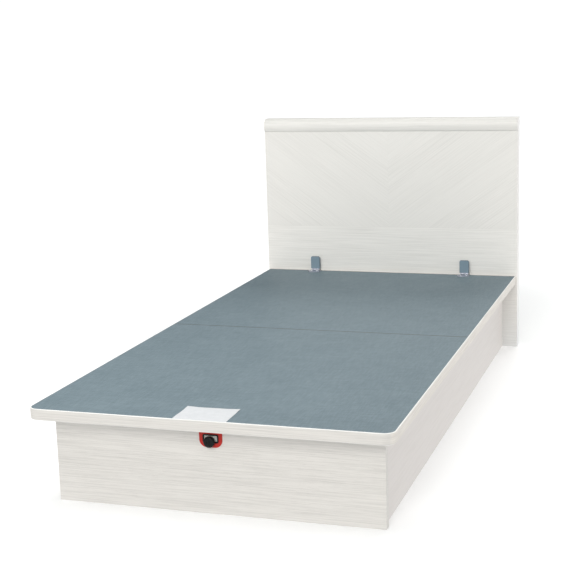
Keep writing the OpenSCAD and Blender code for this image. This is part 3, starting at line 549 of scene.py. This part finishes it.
def coated(name, tint, roughness, pitch=0.0011, wear=0.35, dust=0.0, glint=0.5):
    """Powder coat or paint on steel, rubbed through to bare metal on the edges."""
    material, g, shader = start_finish(name)
    where = g.coords()
    dimples = g.group("Dimples", Vector=where, Pitch=pitch, Roughness=roughness)
    mask = g.group("Edge wear", Vector=where, Width=0.0009, Amount=wear)["Mask"]
    varied = g.mix(g.between(dimples["Tone"], 0.3, 0.7, 0.0, 0.35), tint,
                   scaled(tint, 1.22, 0.004))
    face = g.mix(mask, varied, BARE_STEEL)
    if dust:
        face = dusted(g, face, dust, DUST_ON_PAINT)
    g.put(shader.inputs["Metallic"], g.times(mask, 0.9))
    shader.inputs["Specular IOR Level"].default_value = glint
    dress(g, shader, face, dimples["Roughness"], dimples["Height"], COAT_RELIEF)
    return material


def zinc_plate(name="zinc_plate", tint=(0.58, 0.59, 0.60), roughness=0.34, brushed=1.0):
    """Zinc-plated steel: brushed lines, cloudy passivation and a rubbed edge."""
    material, g, shader = start_finish(name)
    where = g.coords()
    lines = g.noise(g.vector("MULTIPLY", where, (60.0, 1400.0, 60.0)))
    cloud = g.noise(where, scale=38.0, detail=4.0, roughness=0.6)
    face = g.mix(g.between(cloud, 0.3, 0.7), tint, scaled(tint, 0.80))
    mask = g.group("Edge wear", Vector=where, Width=0.0007, Amount=0.5)["Mask"]
    rubbed = g.mix(mask, face, (0.80, 0.80, 0.80))
    cloudy = g.between(cloud, 0.3, 0.7, roughness - 0.08, roughness + 0.06)
    shader.inputs["Metallic"].default_value = 1.0
    dress(g, shader, rubbed, g.times(lines, 0.22 * brushed, plus=cloudy), lines,
          depth=0.00003 * brushed)
    return material


def moulded(name, tint, roughness, depth=0.00005, wear=0.2, glint=0.5, rim=1.0):
    """Moulded plastic or rubber, fine in texture, with scuffed edges. Rim is painted shade: the
    tone given to what turns away from the front."""
    material, g, shader = start_finish(name)
    where = g.coords()
    dimples = g.group("Dimples", Vector=where, Pitch=0.0008, Roughness=roughness)
    scuffed = g.group("Edge wear", Vector=where, Width=0.0008, Amount=wear)["Mask"]
    varied = g.mix(g.between(dimples["Tone"], 0.3, 0.7, 0.0, 0.4), tint,
                   scaled(tint, 1.25, 0.006))
    # Painted shade: what turns away from the front is darkened to the rim's tone
    if rim < 1.0:
        facing = g.maths("ABSOLUTE", g.axes(g.coords("Normal"))[1])
        varied = g.mix(g.between(facing, 0.97, 0.72), varied, scaled(tint, rim))
    shader.inputs["Specular IOR Level"].default_value = glint
    dress(g, shader, g.mix(scuffed, varied, scaled(tint, 1.0, 0.16)), dimples["Roughness"],
          dimples["Height"], depth)
    return material


def paper_finish():
    """Thin white paper: fibres and a faint cloud."""
    paper_dark, paper_light = (0.60, 0.615, 0.635), (0.67, 0.683, 0.703)
    material, g, shader = start_finish("plain_paper")
    where = g.coords()
    fibre = g.noise(g.vector("MULTIPLY", where, (900.0, 300.0, 300.0)), detail=4.0)
    cloud = g.noise(where, scale=60.0, detail=3.0)
    tone = g.times(fibre, 0.5, plus=g.times(cloud, 0.5))
    dress(g, shader, g.mix(g.between(tone, 0.35, 0.65), paper_dark, paper_light),
          g.between(fibre, 0.3, 0.7, 0.62, 0.78), tone, depth=0.00005)
    return material


def studio_floor():
    """Pale matt floor. The camera sees it brighter far from the bed. The bed gets the same soft
    light from all of it, as from a lit white sweep, so that no shade creeps up the panels."""
    dark_paint, light_paint, unlit = (0.93, 0.93, 0.93), (0.96, 0.96, 0.96), (0.0, 0.0, 0.0)
    glow_near, glow_far, sweep = (0.17, 0.17, 0.17), (0.44, 0.44, 0.44), (0.87, 0.865, 0.86)
    near, far = 1.2, 3.2
    material, g, shader = start_finish("studio_floor")
    where = g.coords()
    cloud = g.noise(where, scale=1.6, detail=4.0)
    fine = g.noise(where, scale=240.0)
    seen = g.add("LightPath", out="Is Camera Ray")
    pale = g.mix(g.between(cloud, 0.3, 0.7), dark_paint, light_paint)
    reach = g.add("VectorMath", where, operation="LENGTH", out="Value")
    glow = g.mix(g.between(reach, near, far, smooth=True), glow_near, glow_far)
    g.put(shader.inputs["Emission Color"], g.mix(seen, sweep, glow))
    shader.inputs["Emission Strength"].default_value = 1.0
    dress(g, shader, g.mix(seen, unlit, pale), g.between(fine, 0.3, 0.7, 0.80, 0.92), fine,
          depth=0.0001)
    return material


def scaled(tint, by, plus=0.0):
    """A colour made darker or lighter."""
    return tuple(min(1.0, c * by + plus) for c in tint)


def give(material, *names):
    """Puts one material on CAD nodes."""
    for name in names:
        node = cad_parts[name]
        if not node.material_slots:
            node.data.materials.append(material)
        for slot in node.material_slots:
            slot.material = material


def both(*stems):
    """The left and the right node of each stem."""
    return [stem + side for stem in stems for side in ("_left", "_right")]


# ---------- mesh helpers ----------


def add_object(name, data):
    """A new object in the scene."""
    made = bpy.data.objects.new(name, data)
    bpy.context.scene.collection.objects.link(made)
    return made


def add_mesh(name, mesh, material):
    """Turns a bmesh into an object of one material."""
    data = bpy.data.meshes.new(name)
    mesh.to_mesh(data)
    mesh.free()
    data.materials.append(material)
    return add_object(name, data)


def new_piece(name, mesh, material, body):
    """Turns a bmesh into a smooth piece that rides on a body."""
    bmesh.ops.recalc_face_normals(mesh, faces=mesh.faces[:])
    piece = add_mesh(name, mesh, material)
    piece.data.shade_smooth()
    piece.data.set_sharp_from_angle(angle=SHARP_ANGLE)
    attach(piece, body)
    return piece


def solids_of(node):
    """(lowest, highest corner, points) of each separate solid of a CAD node."""
    mesh = bmesh.new()
    mesh.from_mesh(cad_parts[node].data)
    bmesh.ops.remove_doubles(mesh, verts=mesh.verts[:], dist=1e-6)
    mesh.verts.ensure_lookup_table()
    seen, found = set(), []
    for start in mesh.verts:
        if start.index in seen:
            continue
        stack, points = [start], []
        seen.add(start.index)
        while stack:
            vert = stack.pop()
            points.append(vert.co.copy())
            for edge in vert.link_edges:
                other = edge.other_vert(vert)
                if other.index not in seen:
                    seen.add(other.index)
                    stack.append(other)
        low = Vector(min(p[i] for p in points) for i in range(3))
        high = Vector(max(p[i] for p in points) for i in range(3))
        found.append((low, high, points))
    mesh.free()
    return found


def ring(mesh, radius, height, count, place):
    """A ring of vertices round the local Z axis."""
    angles = (2 * math.pi * i / count for i in range(count))
    return [mesh.verts.new(place @ Vector((radius * math.cos(a), radius * math.sin(a), height)))
            for a in angles]


def skin(mesh, a, b):
    """Joins two rings of equal count."""
    count = len(a)
    for i in range(count):
        mesh.faces.new((a[i], a[(i + 1) % count], b[(i + 1) % count], b[i]))


def skin_all(mesh, rings):
    """Joins each ring to the next."""
    for a, b in zip(rings, rings[1:]):
        skin(mesh, a, b)


# A screw's head, in shares of its radius and thickness, from the seat to the flat top
SCREW_PROFILE = ((0.97, 0.0), (1.0, 0.18), (0.99, 0.45), (0.93, 0.74), (0.82, 0.92), (0.68, 1.0))
# Its cross recess, in shares of the head's radius and thickness
CROSS_ARM, CROSS_HALF, CROSS_TAPER, CROSS_FLOOR = 0.52, 0.13, 0.7, 0.35
SCREW_SIDES = 24


def cross_outline(scale):
    """Outline of a cross recess, anticlockwise."""
    a, w = CROSS_ARM * scale, CROSS_HALF * scale
    return [(a, -w), (a, w), (w, w), (w, a), (-w, a), (-w, w),
            (-a, w), (-a, -w), (-w, -w), (-w, -a), (w, -a), (w, -w)]


def add_screw(mesh, place, head_r, head_t, shank_r, shank_l):
    """A pan-head screw with a cross recess; the local Z points out of the head, 0 at its seat."""
    around = SCREW_SIDES
    rings = [ring(mesh, head_r * r, head_t * h, around, place) for r, h in SCREW_PROFILE]
    skin_all(mesh, rings)
    top, low = (
        [mesh.verts.new(place @ Vector((x * share_r, y * share_r, head_t * share_t)))
         for x, y in cross_outline(head_r)]
        for share_r, share_t in ((1.0, 1.0), (CROSS_TAPER, CROSS_FLOOR))
    )
    skin(mesh, top, low)
    mesh.faces.new(low[::-1])
    # The flat between the rim and the cross: each rim vertex goes to the nearest cross corner
    rim = rings[-1]
    corners = [Vector(corner).normalized() for corner in cross_outline(1.0)]
    nearest = []
    for i in range(around):
        angle = 2 * math.pi * i / around
        point = Vector((math.cos(angle), math.sin(angle)))
        nearest.append(max(range(len(corners)), key=lambda k: point.dot(corners[k])))
    for i in range(around):
        j = (i + 1) % around
        a, b = nearest[i], nearest[j]
        mesh.faces.new((rim[i], rim[j], top[b]))
        while a != b:
            following = (a + 1) % len(corners)
            mesh.faces.new((rim[i], top[following], top[a]))
            a = following
    seat = ring(mesh, head_r * SCREW_PROFILE[0][0], 0.0, around, place)
    neck = ring(mesh, shank_r, 0.0, around, place)
    skin(mesh, neck, seat)
    end = ring(mesh, shank_r, -(shank_l - shank_r), around, place)
    skin(mesh, end, neck)
    tip = mesh.verts.new(place @ Vector((0, 0, -shank_l)))
    for i in range(around):
        mesh.faces.new((tip, end[(i + 1) % around], end[i]))
    bmesh.ops.remove_doubles(mesh, verts=rings[0] + seat, dist=1e-7)


def screws_for(node, body, material):
    """Detailed screws in the place of a CAD node of plain ones."""
    mesh = bmesh.new()
    for low, high, points in solids_of(node):
        size = high - low
        axis = max(range(3), key=lambda i: size[i])
        centre = (low + high) / 2
        others = [i for i in range(3) if i != axis]
        head_r = max(size[i] for i in others) / 2

        def off_axis(p):
            return math.hypot(*(p[i] - centre[i] for i in others))

        def radii(at):
            return [off_axis(p) for p in points if abs(p[axis] - at) < 1e-5]

        out = 1 if max(radii(high[axis])) > max(radii(low[axis])) else -1
        # The head's rim is its widest part, and the seat is the rim's lower end
        seat = min(round(p[axis] * out, 6) for p in points if off_axis(p) > head_r * 0.9) * out
        face = (high if out > 0 else low)[axis]
        shank_r = min(radii(seat))
        far = (low if out > 0 else high)[axis]
        z_axis = Vector((0.0, 0.0, 0.0))
        z_axis[axis] = out
        turned = z_axis.to_track_quat("Z", "Y").to_matrix().to_4x4()
        # Each screw was driven to another angle
        spin = Matrix.Rotation(1.7 * len(mesh.verts), 4, "Z")
        centre[axis] = seat
        add_screw(mesh, Matrix.Translation(centre) @ turned @ spin, head_r, abs(face - seat),
                  shank_r, abs(far - seat))
    piece = new_piece(node + "_detailed", mesh, material, body)
    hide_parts(node)
    return piece


# ---------- operators ----------


def cap_section(low, high):
    """The cap's section as (y, z): a round crown, and a front that draws in below it."""
    crown_r, draw_in, arris, steps = 0.026, 0.0045, 0.0012, 10
    waist = high.z - crown_r
    fall = waist - low.z - arris
    belly_r = (fall ** 2 + draw_in ** 2) / (2 * draw_in)
    section = [(high.y, low.z), (high.y, high.z)]
    for i in range(steps + 1):
        angle = math.pi / 2 * (1 - i / steps)
        section.append((low.y + crown_r * (1 - math.cos(angle)),
                        waist + crown_r * math.sin(angle)))
    for i in range(1, steps + 1):
        angle = math.asin(fall / belly_r) * i / steps
        section.append((low.y + belly_r * (1 - math.cos(angle)),
                        waist - belly_r * math.sin(angle)))
    section.append((section[-1][0] + arris, low.z))
    return section


def rounded_cap(material):
    """The cap moulding over the headboard, rounder than the plain CAD one that it replaces."""
    low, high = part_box("headboard_cap")
    mesh = bmesh.new()
    ends = [[mesh.verts.new((x, y, z)) for y, z in cap_section(low, high)]
            for x in (low.x, high.x)]
    skin(mesh, *ends)
    for end in ends:
        mesh.faces.new(end)
    cap = new_piece("headboard_cap_rounded", mesh, material, "frame")
    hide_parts("headboard_cap")


class BED_OT_finish_headboard(bpy.types.Operator):
    """Chevron laminate on the headboard, and its rounded cap"""

    bl_idname = "bed.finish_headboard"
    bl_label = "Finish headboard"

    def execute(self, context):
        paint = colours()
        give(chevron_laminate(), "headboard_panel")
        rounded_cap(laminate("cap_laminate", "x", paint.head_light, paint.head_dark,
                             contrast=0.85, taped=True))
        return {"FINISHED"}


class BED_OT_finish_box(bpy.types.Operator):
    """Laminate on the foot panel, side panels, divider and bottom boards"""

    bl_idname = "bed.finish_box"
    bl_label = "Finish storage box"

    def execute(self, context):
        paint = colours()
        give(laminate("foot_laminate", "x", paint.grain_light, paint.grain_dark,
                      contrast=1.12), "foot_panel", "centre_divider")
        give(laminate("side_laminate", "y", paint.side_light, paint.side_dark, contrast=0.5,
                      streak=0.0070), *both("side_panel"))
        give(laminate("bottom_laminate", "y", (0.72, 0.70, 0.66), (0.58, 0.55, 0.50),
                      contrast=0.5, dust=0.5),
             "bottom_board_head", "bottom_board_middle", "bottom_board_foot")
        return {"FINISHED"}


class BED_OT_finish_lid(bpy.types.Operator):
    """Linen-grain sheets, grain edge band and the boards' core"""

    bl_idname = "bed.finish_lid"
    bl_label = "Finish lid"

    def execute(self, context):
        give(linen_sheet(), "lid_sheet_foot", "lid_sheet_head")
        give(edge_band(), "edge_band_foot", "edge_band_head")
        give(particle_board(), "lid_board_foot", "lid_board_head")
        return {"FINISHED"}


class BED_OT_finish_timber(bpy.types.Operator):
    """Planed pine on the battens and cleats"""

    bl_idname = "bed.finish_timber"
    bl_label = "Finish timber"

    def execute(self, context):
        give(timber("pine_lengthways", "y"), "floor_cleats", *both("long_batten"))
        give(timber("pine_crossways", "x"), "cross_battens", "seam_batten", "joint_cleats")
        return {"FINISHED"}


class BED_OT_finish_lift(bpy.types.Operator):
    """Black steel arms, zinc pins and the gas springs"""

    bl_idname = "bed.finish_lift"
    bl_label = "Finish lift fitting"

    def execute(self, context):
        give(coated("black_powder_coat", (0.022, 0.022, 0.024), roughness=0.46, dust=0.15),
             *both("base_rail", "swing_arm", "lid_arm"))
        give(coated("black_tube_paint", (0.012, 0.012, 0.013), roughness=0.26, pitch=0.0006,
                    wear=0.15), *both("gas_tube"))
        give(zinc_plate(), "divider_brackets", "pivot_pins", "lower_spring_pins", "link_pins",
             "upper_spring_pins", "guide_pins", "latch_keeper", "latch_cam",
             *both("corner_bracket_head", "corner_bracket_foot"))
        give(zinc_plate("polished_rod", (0.80, 0.80, 0.82), roughness=0.14, brushed=0.15),
             *both("gas_rod"))
        give(moulded("black_nylon", (0.018, 0.018, 0.020), roughness=0.48), "tube_eyelets",
             "rod_eyelets")
        give(moulded("white_nylon", (0.80, 0.79, 0.74), roughness=0.40), "guide_bushes")
        give(moulded("bumper_rubber", (0.015, 0.015, 0.015), roughness=0.78, depth=0.00008),
             "lid_bumpers")
        return {"FINISHED"}


class BED_OT_make_screws(bpy.types.Operator):
    """Cross-recess screws in the place of the plain ones"""

    bl_idname = "bed.make_screws"
    bl_label = "Make screws"

    def execute(self, context):
        zinc = zinc_plate("zinc_screw", (0.62, 0.62, 0.62), roughness=0.30, brushed=0.4)
        for body, stems in (("frame", ("bracket", "rail", "latch")),
                            ("lid", ("batten", "lid_arm", "keeper"))):
            for stem in stems:
                screws_for(stem + "_screws", body, zinc)
        bright = zinc_plate("bright_screw", (0.82, 0.82, 0.84), roughness=0.20, brushed=0.2)
        screws_for("stop_screws", "lid", bright)
        return {"FINISHED"}


# The knob, from its face to its back: depth, share of the radius, share of the flutes' depth
KNOB_PROFILE = ((0.0022, 0.30, 0.0), (0.0008, 0.34, 0.0), (0.0004, 0.62, 0.0),
                (0.0008, 0.80, 0.0), (0.0022, 0.93, 0.25), (0.0040, 1.0, 1.0),
                (0.0085, 1.0, 1.0), (0.0102, 0.95, 0.5), (0.0116, 0.82, 0.0),
                (0.0120, 0.44, 0.0), (0.0196, 0.433, 0.0))
# Its finger bar: depth, and shares of the radius for half its length and half its width
BAR_PROFILE = ((0.0012, 0.80, 0.15), (0.00020, 0.78, 0.13), (0.0, 0.74, 0.10))
FLUTE_DEPTH, SPINDLE_R, SPINDLE_BEVEL = 0.075, 0.004, 0.0005


def fluted_knob(low, high, flutes):
    """The round knob with its grip flutes, finger bar and spindle, as a bmesh."""
    radius, back = (high.x - low.x) / 2, high.y - low.y
    centre = (low + high) / 2
    centre.y = low.y
    turned = Vector((0, -1, 0)).to_track_quat("Z", "Y").to_matrix().to_4x4()
    place = Matrix.Translation(centre) @ turned
    points_per_flute = 6
    around = points_per_flute * flutes
    mesh = bmesh.new()
    rings = []
    for depth, share_r, flute in KNOB_PROFILE:
        verts = []
        for i in range(around):
            angle = 2 * math.pi * i / around
            groove = 0.5 - 0.5 * math.cos(flutes * angle)
            r = radius * share_r * (1 - FLUTE_DEPTH * flute * groove)
            point = Vector((r * math.cos(angle), r * math.sin(angle), -depth))
            verts.append(mesh.verts.new(place @ point))
        rings.append(verts)
    for r, depth in ((SPINDLE_R, KNOB_PROFILE[-1][0]), (SPINDLE_R, back - SPINDLE_BEVEL),
                     (SPINDLE_R - SPINDLE_BEVEL, back)):
        rings.append(ring(mesh, r, -depth, around, place))
    skin_all(mesh, rings)
    mesh.faces.new(rings[-1])
    mesh.faces.new(rings[0])
    # A raised bar across the face, for the fingers and to show which way the cam points
    bar = []
    for depth, reach, half in BAR_PROFILE:
        corners = ((half, -reach + half), (half, reach - half), (half * 0.5, reach),
                   (-half * 0.5, reach), (-half, reach - half), (-half, -reach + half),
                   (-half * 0.5, -reach), (half * 0.5, -reach))
        bar.append([mesh.verts.new(place @ Vector((x * radius, y * radius, -depth)))
                    for x, y in corners])
    skin_all(mesh, bar)
    mesh.faces.new(bar[-1])
    mesh.faces.new(bar[0])
    return mesh


class BED_OT_make_latch(bpy.types.Operator):
    """Red latch plate, black rim and a fluted knob"""

    bl_idname = "bed.make_latch"
    bl_label = "Make latch"

    def execute(self, context):
        paint = colours()
        give(coated("red_latch_paint", tuple(paint.latch_red), roughness=0.46, pitch=0.0009,
                    wear=0.2, glint=0.25), "latch_plate")
        black = moulded("black_plastic", (0.005, 0.007, 0.007), roughness=0.36, depth=0.00002,
                        wear=0.1, glint=0.22)
        give(black, "latch_rim")
        mesh = fluted_knob(*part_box("latch_knob"), sizes().knob_flutes)
        knob = new_piece("latch_knob_fluted", mesh, black, "latch")
        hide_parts("latch_knob")
        return {"FINISHED"}


class BED_OT_finish_stops(bpy.types.Operator):
    """Blue-grey sleeves and pale plated feet of the mattress stops"""

    bl_idname = "bed.finish_stops"
    bl_label = "Finish mattress stops"

    def execute(self, context):
        # The sleeves' sides get painted shade through the rim
        give(moulded("blue_sleeve_plastic", tuple(colours().stop_blue), roughness=0.42,
                     glint=0.4, rim=0.40), "stop_sleeves")
        give(zinc_plate("pale_stop_plate", (0.56, 0.58, 0.65), roughness=0.46, brushed=0.3),
             *both("stop_bracket"))
        return {"FINISHED"}


def beyond(t, start):
    """0 up to the start, then rises to 1 where t is 1."""
    return max(0.0, t - start) / (1.0 - start)


class BED_OT_lay_paper(bpy.types.Operator):
    """A loose blank sheet of paper at the lid's foot edge"""

    bl_idname = "bed.lay_paper"
    bl_label = "Lay paper sheet"

    def execute(self, context):
        size = sizes()
        left, front = -size.paper_x, BAND_LOW.y + 0.0012
        top = LID_HIGH.z + 0.0003
        # The front edge follows the band's rounded arris down, from here on
        arris_y, arris_fall = BAND_LOW.y + 0.0030, 0.28
        ripple_height = 0.00035
        across, along = 26, 22
        mesh = bmesh.new()
        grid = []
        for j in range(along + 1):
            v = j / along
            y = front + v * size.paper_length
            row = []
            for i in range(across + 1):
                u = i / across
                ripple = ripple_height * (
                    math.sin(9.1 * u + 2.3 * v) * math.sin(6.7 * v + 0.8) + 1.0)
                # The far corners lift, the right one most. The ripple dies out at the front
                curl = size.paper_rise * (beyond(u, 0.72) * beyond(v, 0.66)
                                          + 0.5 * beyond(1.0 - u, 0.80) * beyond(v, 0.75))
                drop = arris_fall * max(0.0, arris_y - y)
                row.append(mesh.verts.new((
                    left + u * size.paper_width, y,
                    top + ripple * min(1.0, v * 4) + curl - drop)))
            grid.append(row)
        for near, far in zip(grid, grid[1:]):
            for i in range(across):
                mesh.faces.new((near[i], near[i + 1], far[i + 1], far[i]))
        paper = new_piece("blank_paper_sheet", mesh, paper_finish(), "lid")
        return {"FINISHED"}


# Suns: name, direction of the light, power
SUNS = (("front", (-0.025, 1.0, -0.57), 1.37),
        ("back", (-0.1, -1.0, -1.1), 1.0))
SUN_TINT = (1.0, 0.988, 0.968)
# Round lamps: name, place, what it points at, width in metres, power in watts, tint
LAMPS = (
    ("over_foot", (-0.6, -1.2, 1.95), (-0.6, -1.2, 0.0), 1.6, 19.0, WARM_LAMP),
    ("over_head", (-0.1, 0.55, 2.3), (-0.1, 0.55, 0.0), 1.2, 2.5, WARM_LAMP),
    ("side", (4.2, 0.6, 1.6), (0.4, 0.4, 0.2), 2.4, 47.0, (1.0, 0.98, 0.97)),
)
# The camera of the photo, solved from the bed's straight edges: its place, its own axes, its lens
CAMERA_PLACE = (1.17643, -3.83413, 1.21953)
CAMERA_RIGHT = (0.94979427, 0.31139415, -0.03040587)
CAMERA_UP = (-0.03296922, 0.19625194, 0.97999909)
CAMERA_BACK = (0.3111332, -0.92979506, 0.19666539)
LENS_MM, FILM_WIDTH_MM = 81.97, 36.0


def place_light(data, along):
    """A light that shines along a direction."""
    light = add_object(data.name, data)
    light.rotation_euler = Vector(along).to_track_quat("-Z", "Y").to_euler()
    return light


class BED_OT_set_stage(bpy.types.Operator):
    """Pale floor, soft lights and the camera"""

    bl_idname = "bed.set_stage"
    bl_label = "Set stage"

    def execute(self, context):
        scene = context.scene
        floor_reach, floor_drop = 30.0, 0.0005
        mesh = bmesh.new()
        bmesh.ops.create_grid(mesh, x_segments=4, y_segments=4, size=floor_reach)
        floor = add_mesh("floor", mesh, studio_floor())
        floor.location.z = -floor_drop

        # A white background for the camera, and a faint cool light for the bed
        cool, white = (0.93, 0.985, 1.0), (1.0, 1.0, 1.0)
        on_bed, behind = 0.315, 1.05
        world = bpy.data.worlds.new("studio")
        world.use_nodes = True
        scene.world = world
        world.node_tree.nodes.clear()
        g = Nodes(world.node_tree)
        seen = g.add("LightPath", out="Is Camera Ray")
        sky = g.add("Background", g.mix(seen, cool, white),
                    g.between(seen, 0.0, 1.0, on_bed, behind))
        out = world.node_tree.nodes.new("ShaderNodeOutputWorld")
        g.put(out.inputs["Surface"], sky)

        for name, along, power in SUNS:
            sun = bpy.data.lights.new(name, "SUN")
            sun.energy = power
            sun.color = SUN_TINT
            sun.angle = math.radians(30)
            place_light(sun, along)
        for name, at, aim, width, power, tint in LAMPS:
            lamp = bpy.data.lights.new(name, "AREA")
            lamp.shape = "DISK"
            lamp.size = width
            lamp.energy = power
            lamp.color = tint
            place_light(lamp, Vector(aim) - Vector(at)).location = at

        camera = add_object("camera", bpy.data.cameras.new("camera"))
        axes = Matrix((CAMERA_RIGHT, CAMERA_UP, CAMERA_BACK)).transposed()
        camera.matrix_world = Matrix.Translation(CAMERA_PLACE) @ axes.to_4x4()
        camera.data.sensor_width = FILM_WIDTH_MM
        camera.data.lens = LENS_MM
        camera.data.clip_end = 100.0
        scene.camera = camera
        scene.view_settings.view_transform = "Standard"
        return {"FINISHED"}


OPERATORS = (
    BED_OT_finish_headboard, BED_OT_finish_box, BED_OT_finish_lid, BED_OT_finish_timber,
    BED_OT_finish_lift, BED_OT_make_screws, BED_OT_make_latch, BED_OT_finish_stops,
    BED_OT_lay_paper, BED_OT_set_stage,
)


class BED_PT_bed(bpy.types.Panel):
    """Lists the bed's steps and settings"""

    bl_idname = "BED_PT_bed"
    bl_label = "Platform bed"
    bl_space_type = "VIEW_3D"
    bl_region_type = "UI"
    bl_category = "Bed"

    def draw(self, context):
        for kind in OPERATORS:
            self.layout.operator(kind.bl_idname)
        for group in (context.scene.bed_sizes, context.scene.bed_colours):
            box = self.layout.box()
            for key in group.__annotations__:
                box.prop(group, key)


CLASSES = (BedSizes, BedColours) + OPERATORS + (BED_PT_bed,)


def register():
    for kind in CLASSES:
        bpy.utils.register_class(kind)
    bpy.types.Scene.bed_sizes = PointerProperty(type=BedSizes)
    bpy.types.Scene.bed_colours = PointerProperty(type=BedColours)


def unregister():
    del bpy.types.Scene.bed_colours
    del bpy.types.Scene.bed_sizes
    for kind in reversed(CLASSES):
        bpy.utils.unregister_class(kind)


def main():
    register()
    for kind in OPERATORS:
        group, name = kind.bl_idname.split(".")
        getattr(getattr(bpy.ops, group), name)()


if __name__ == "__main__":
    main()
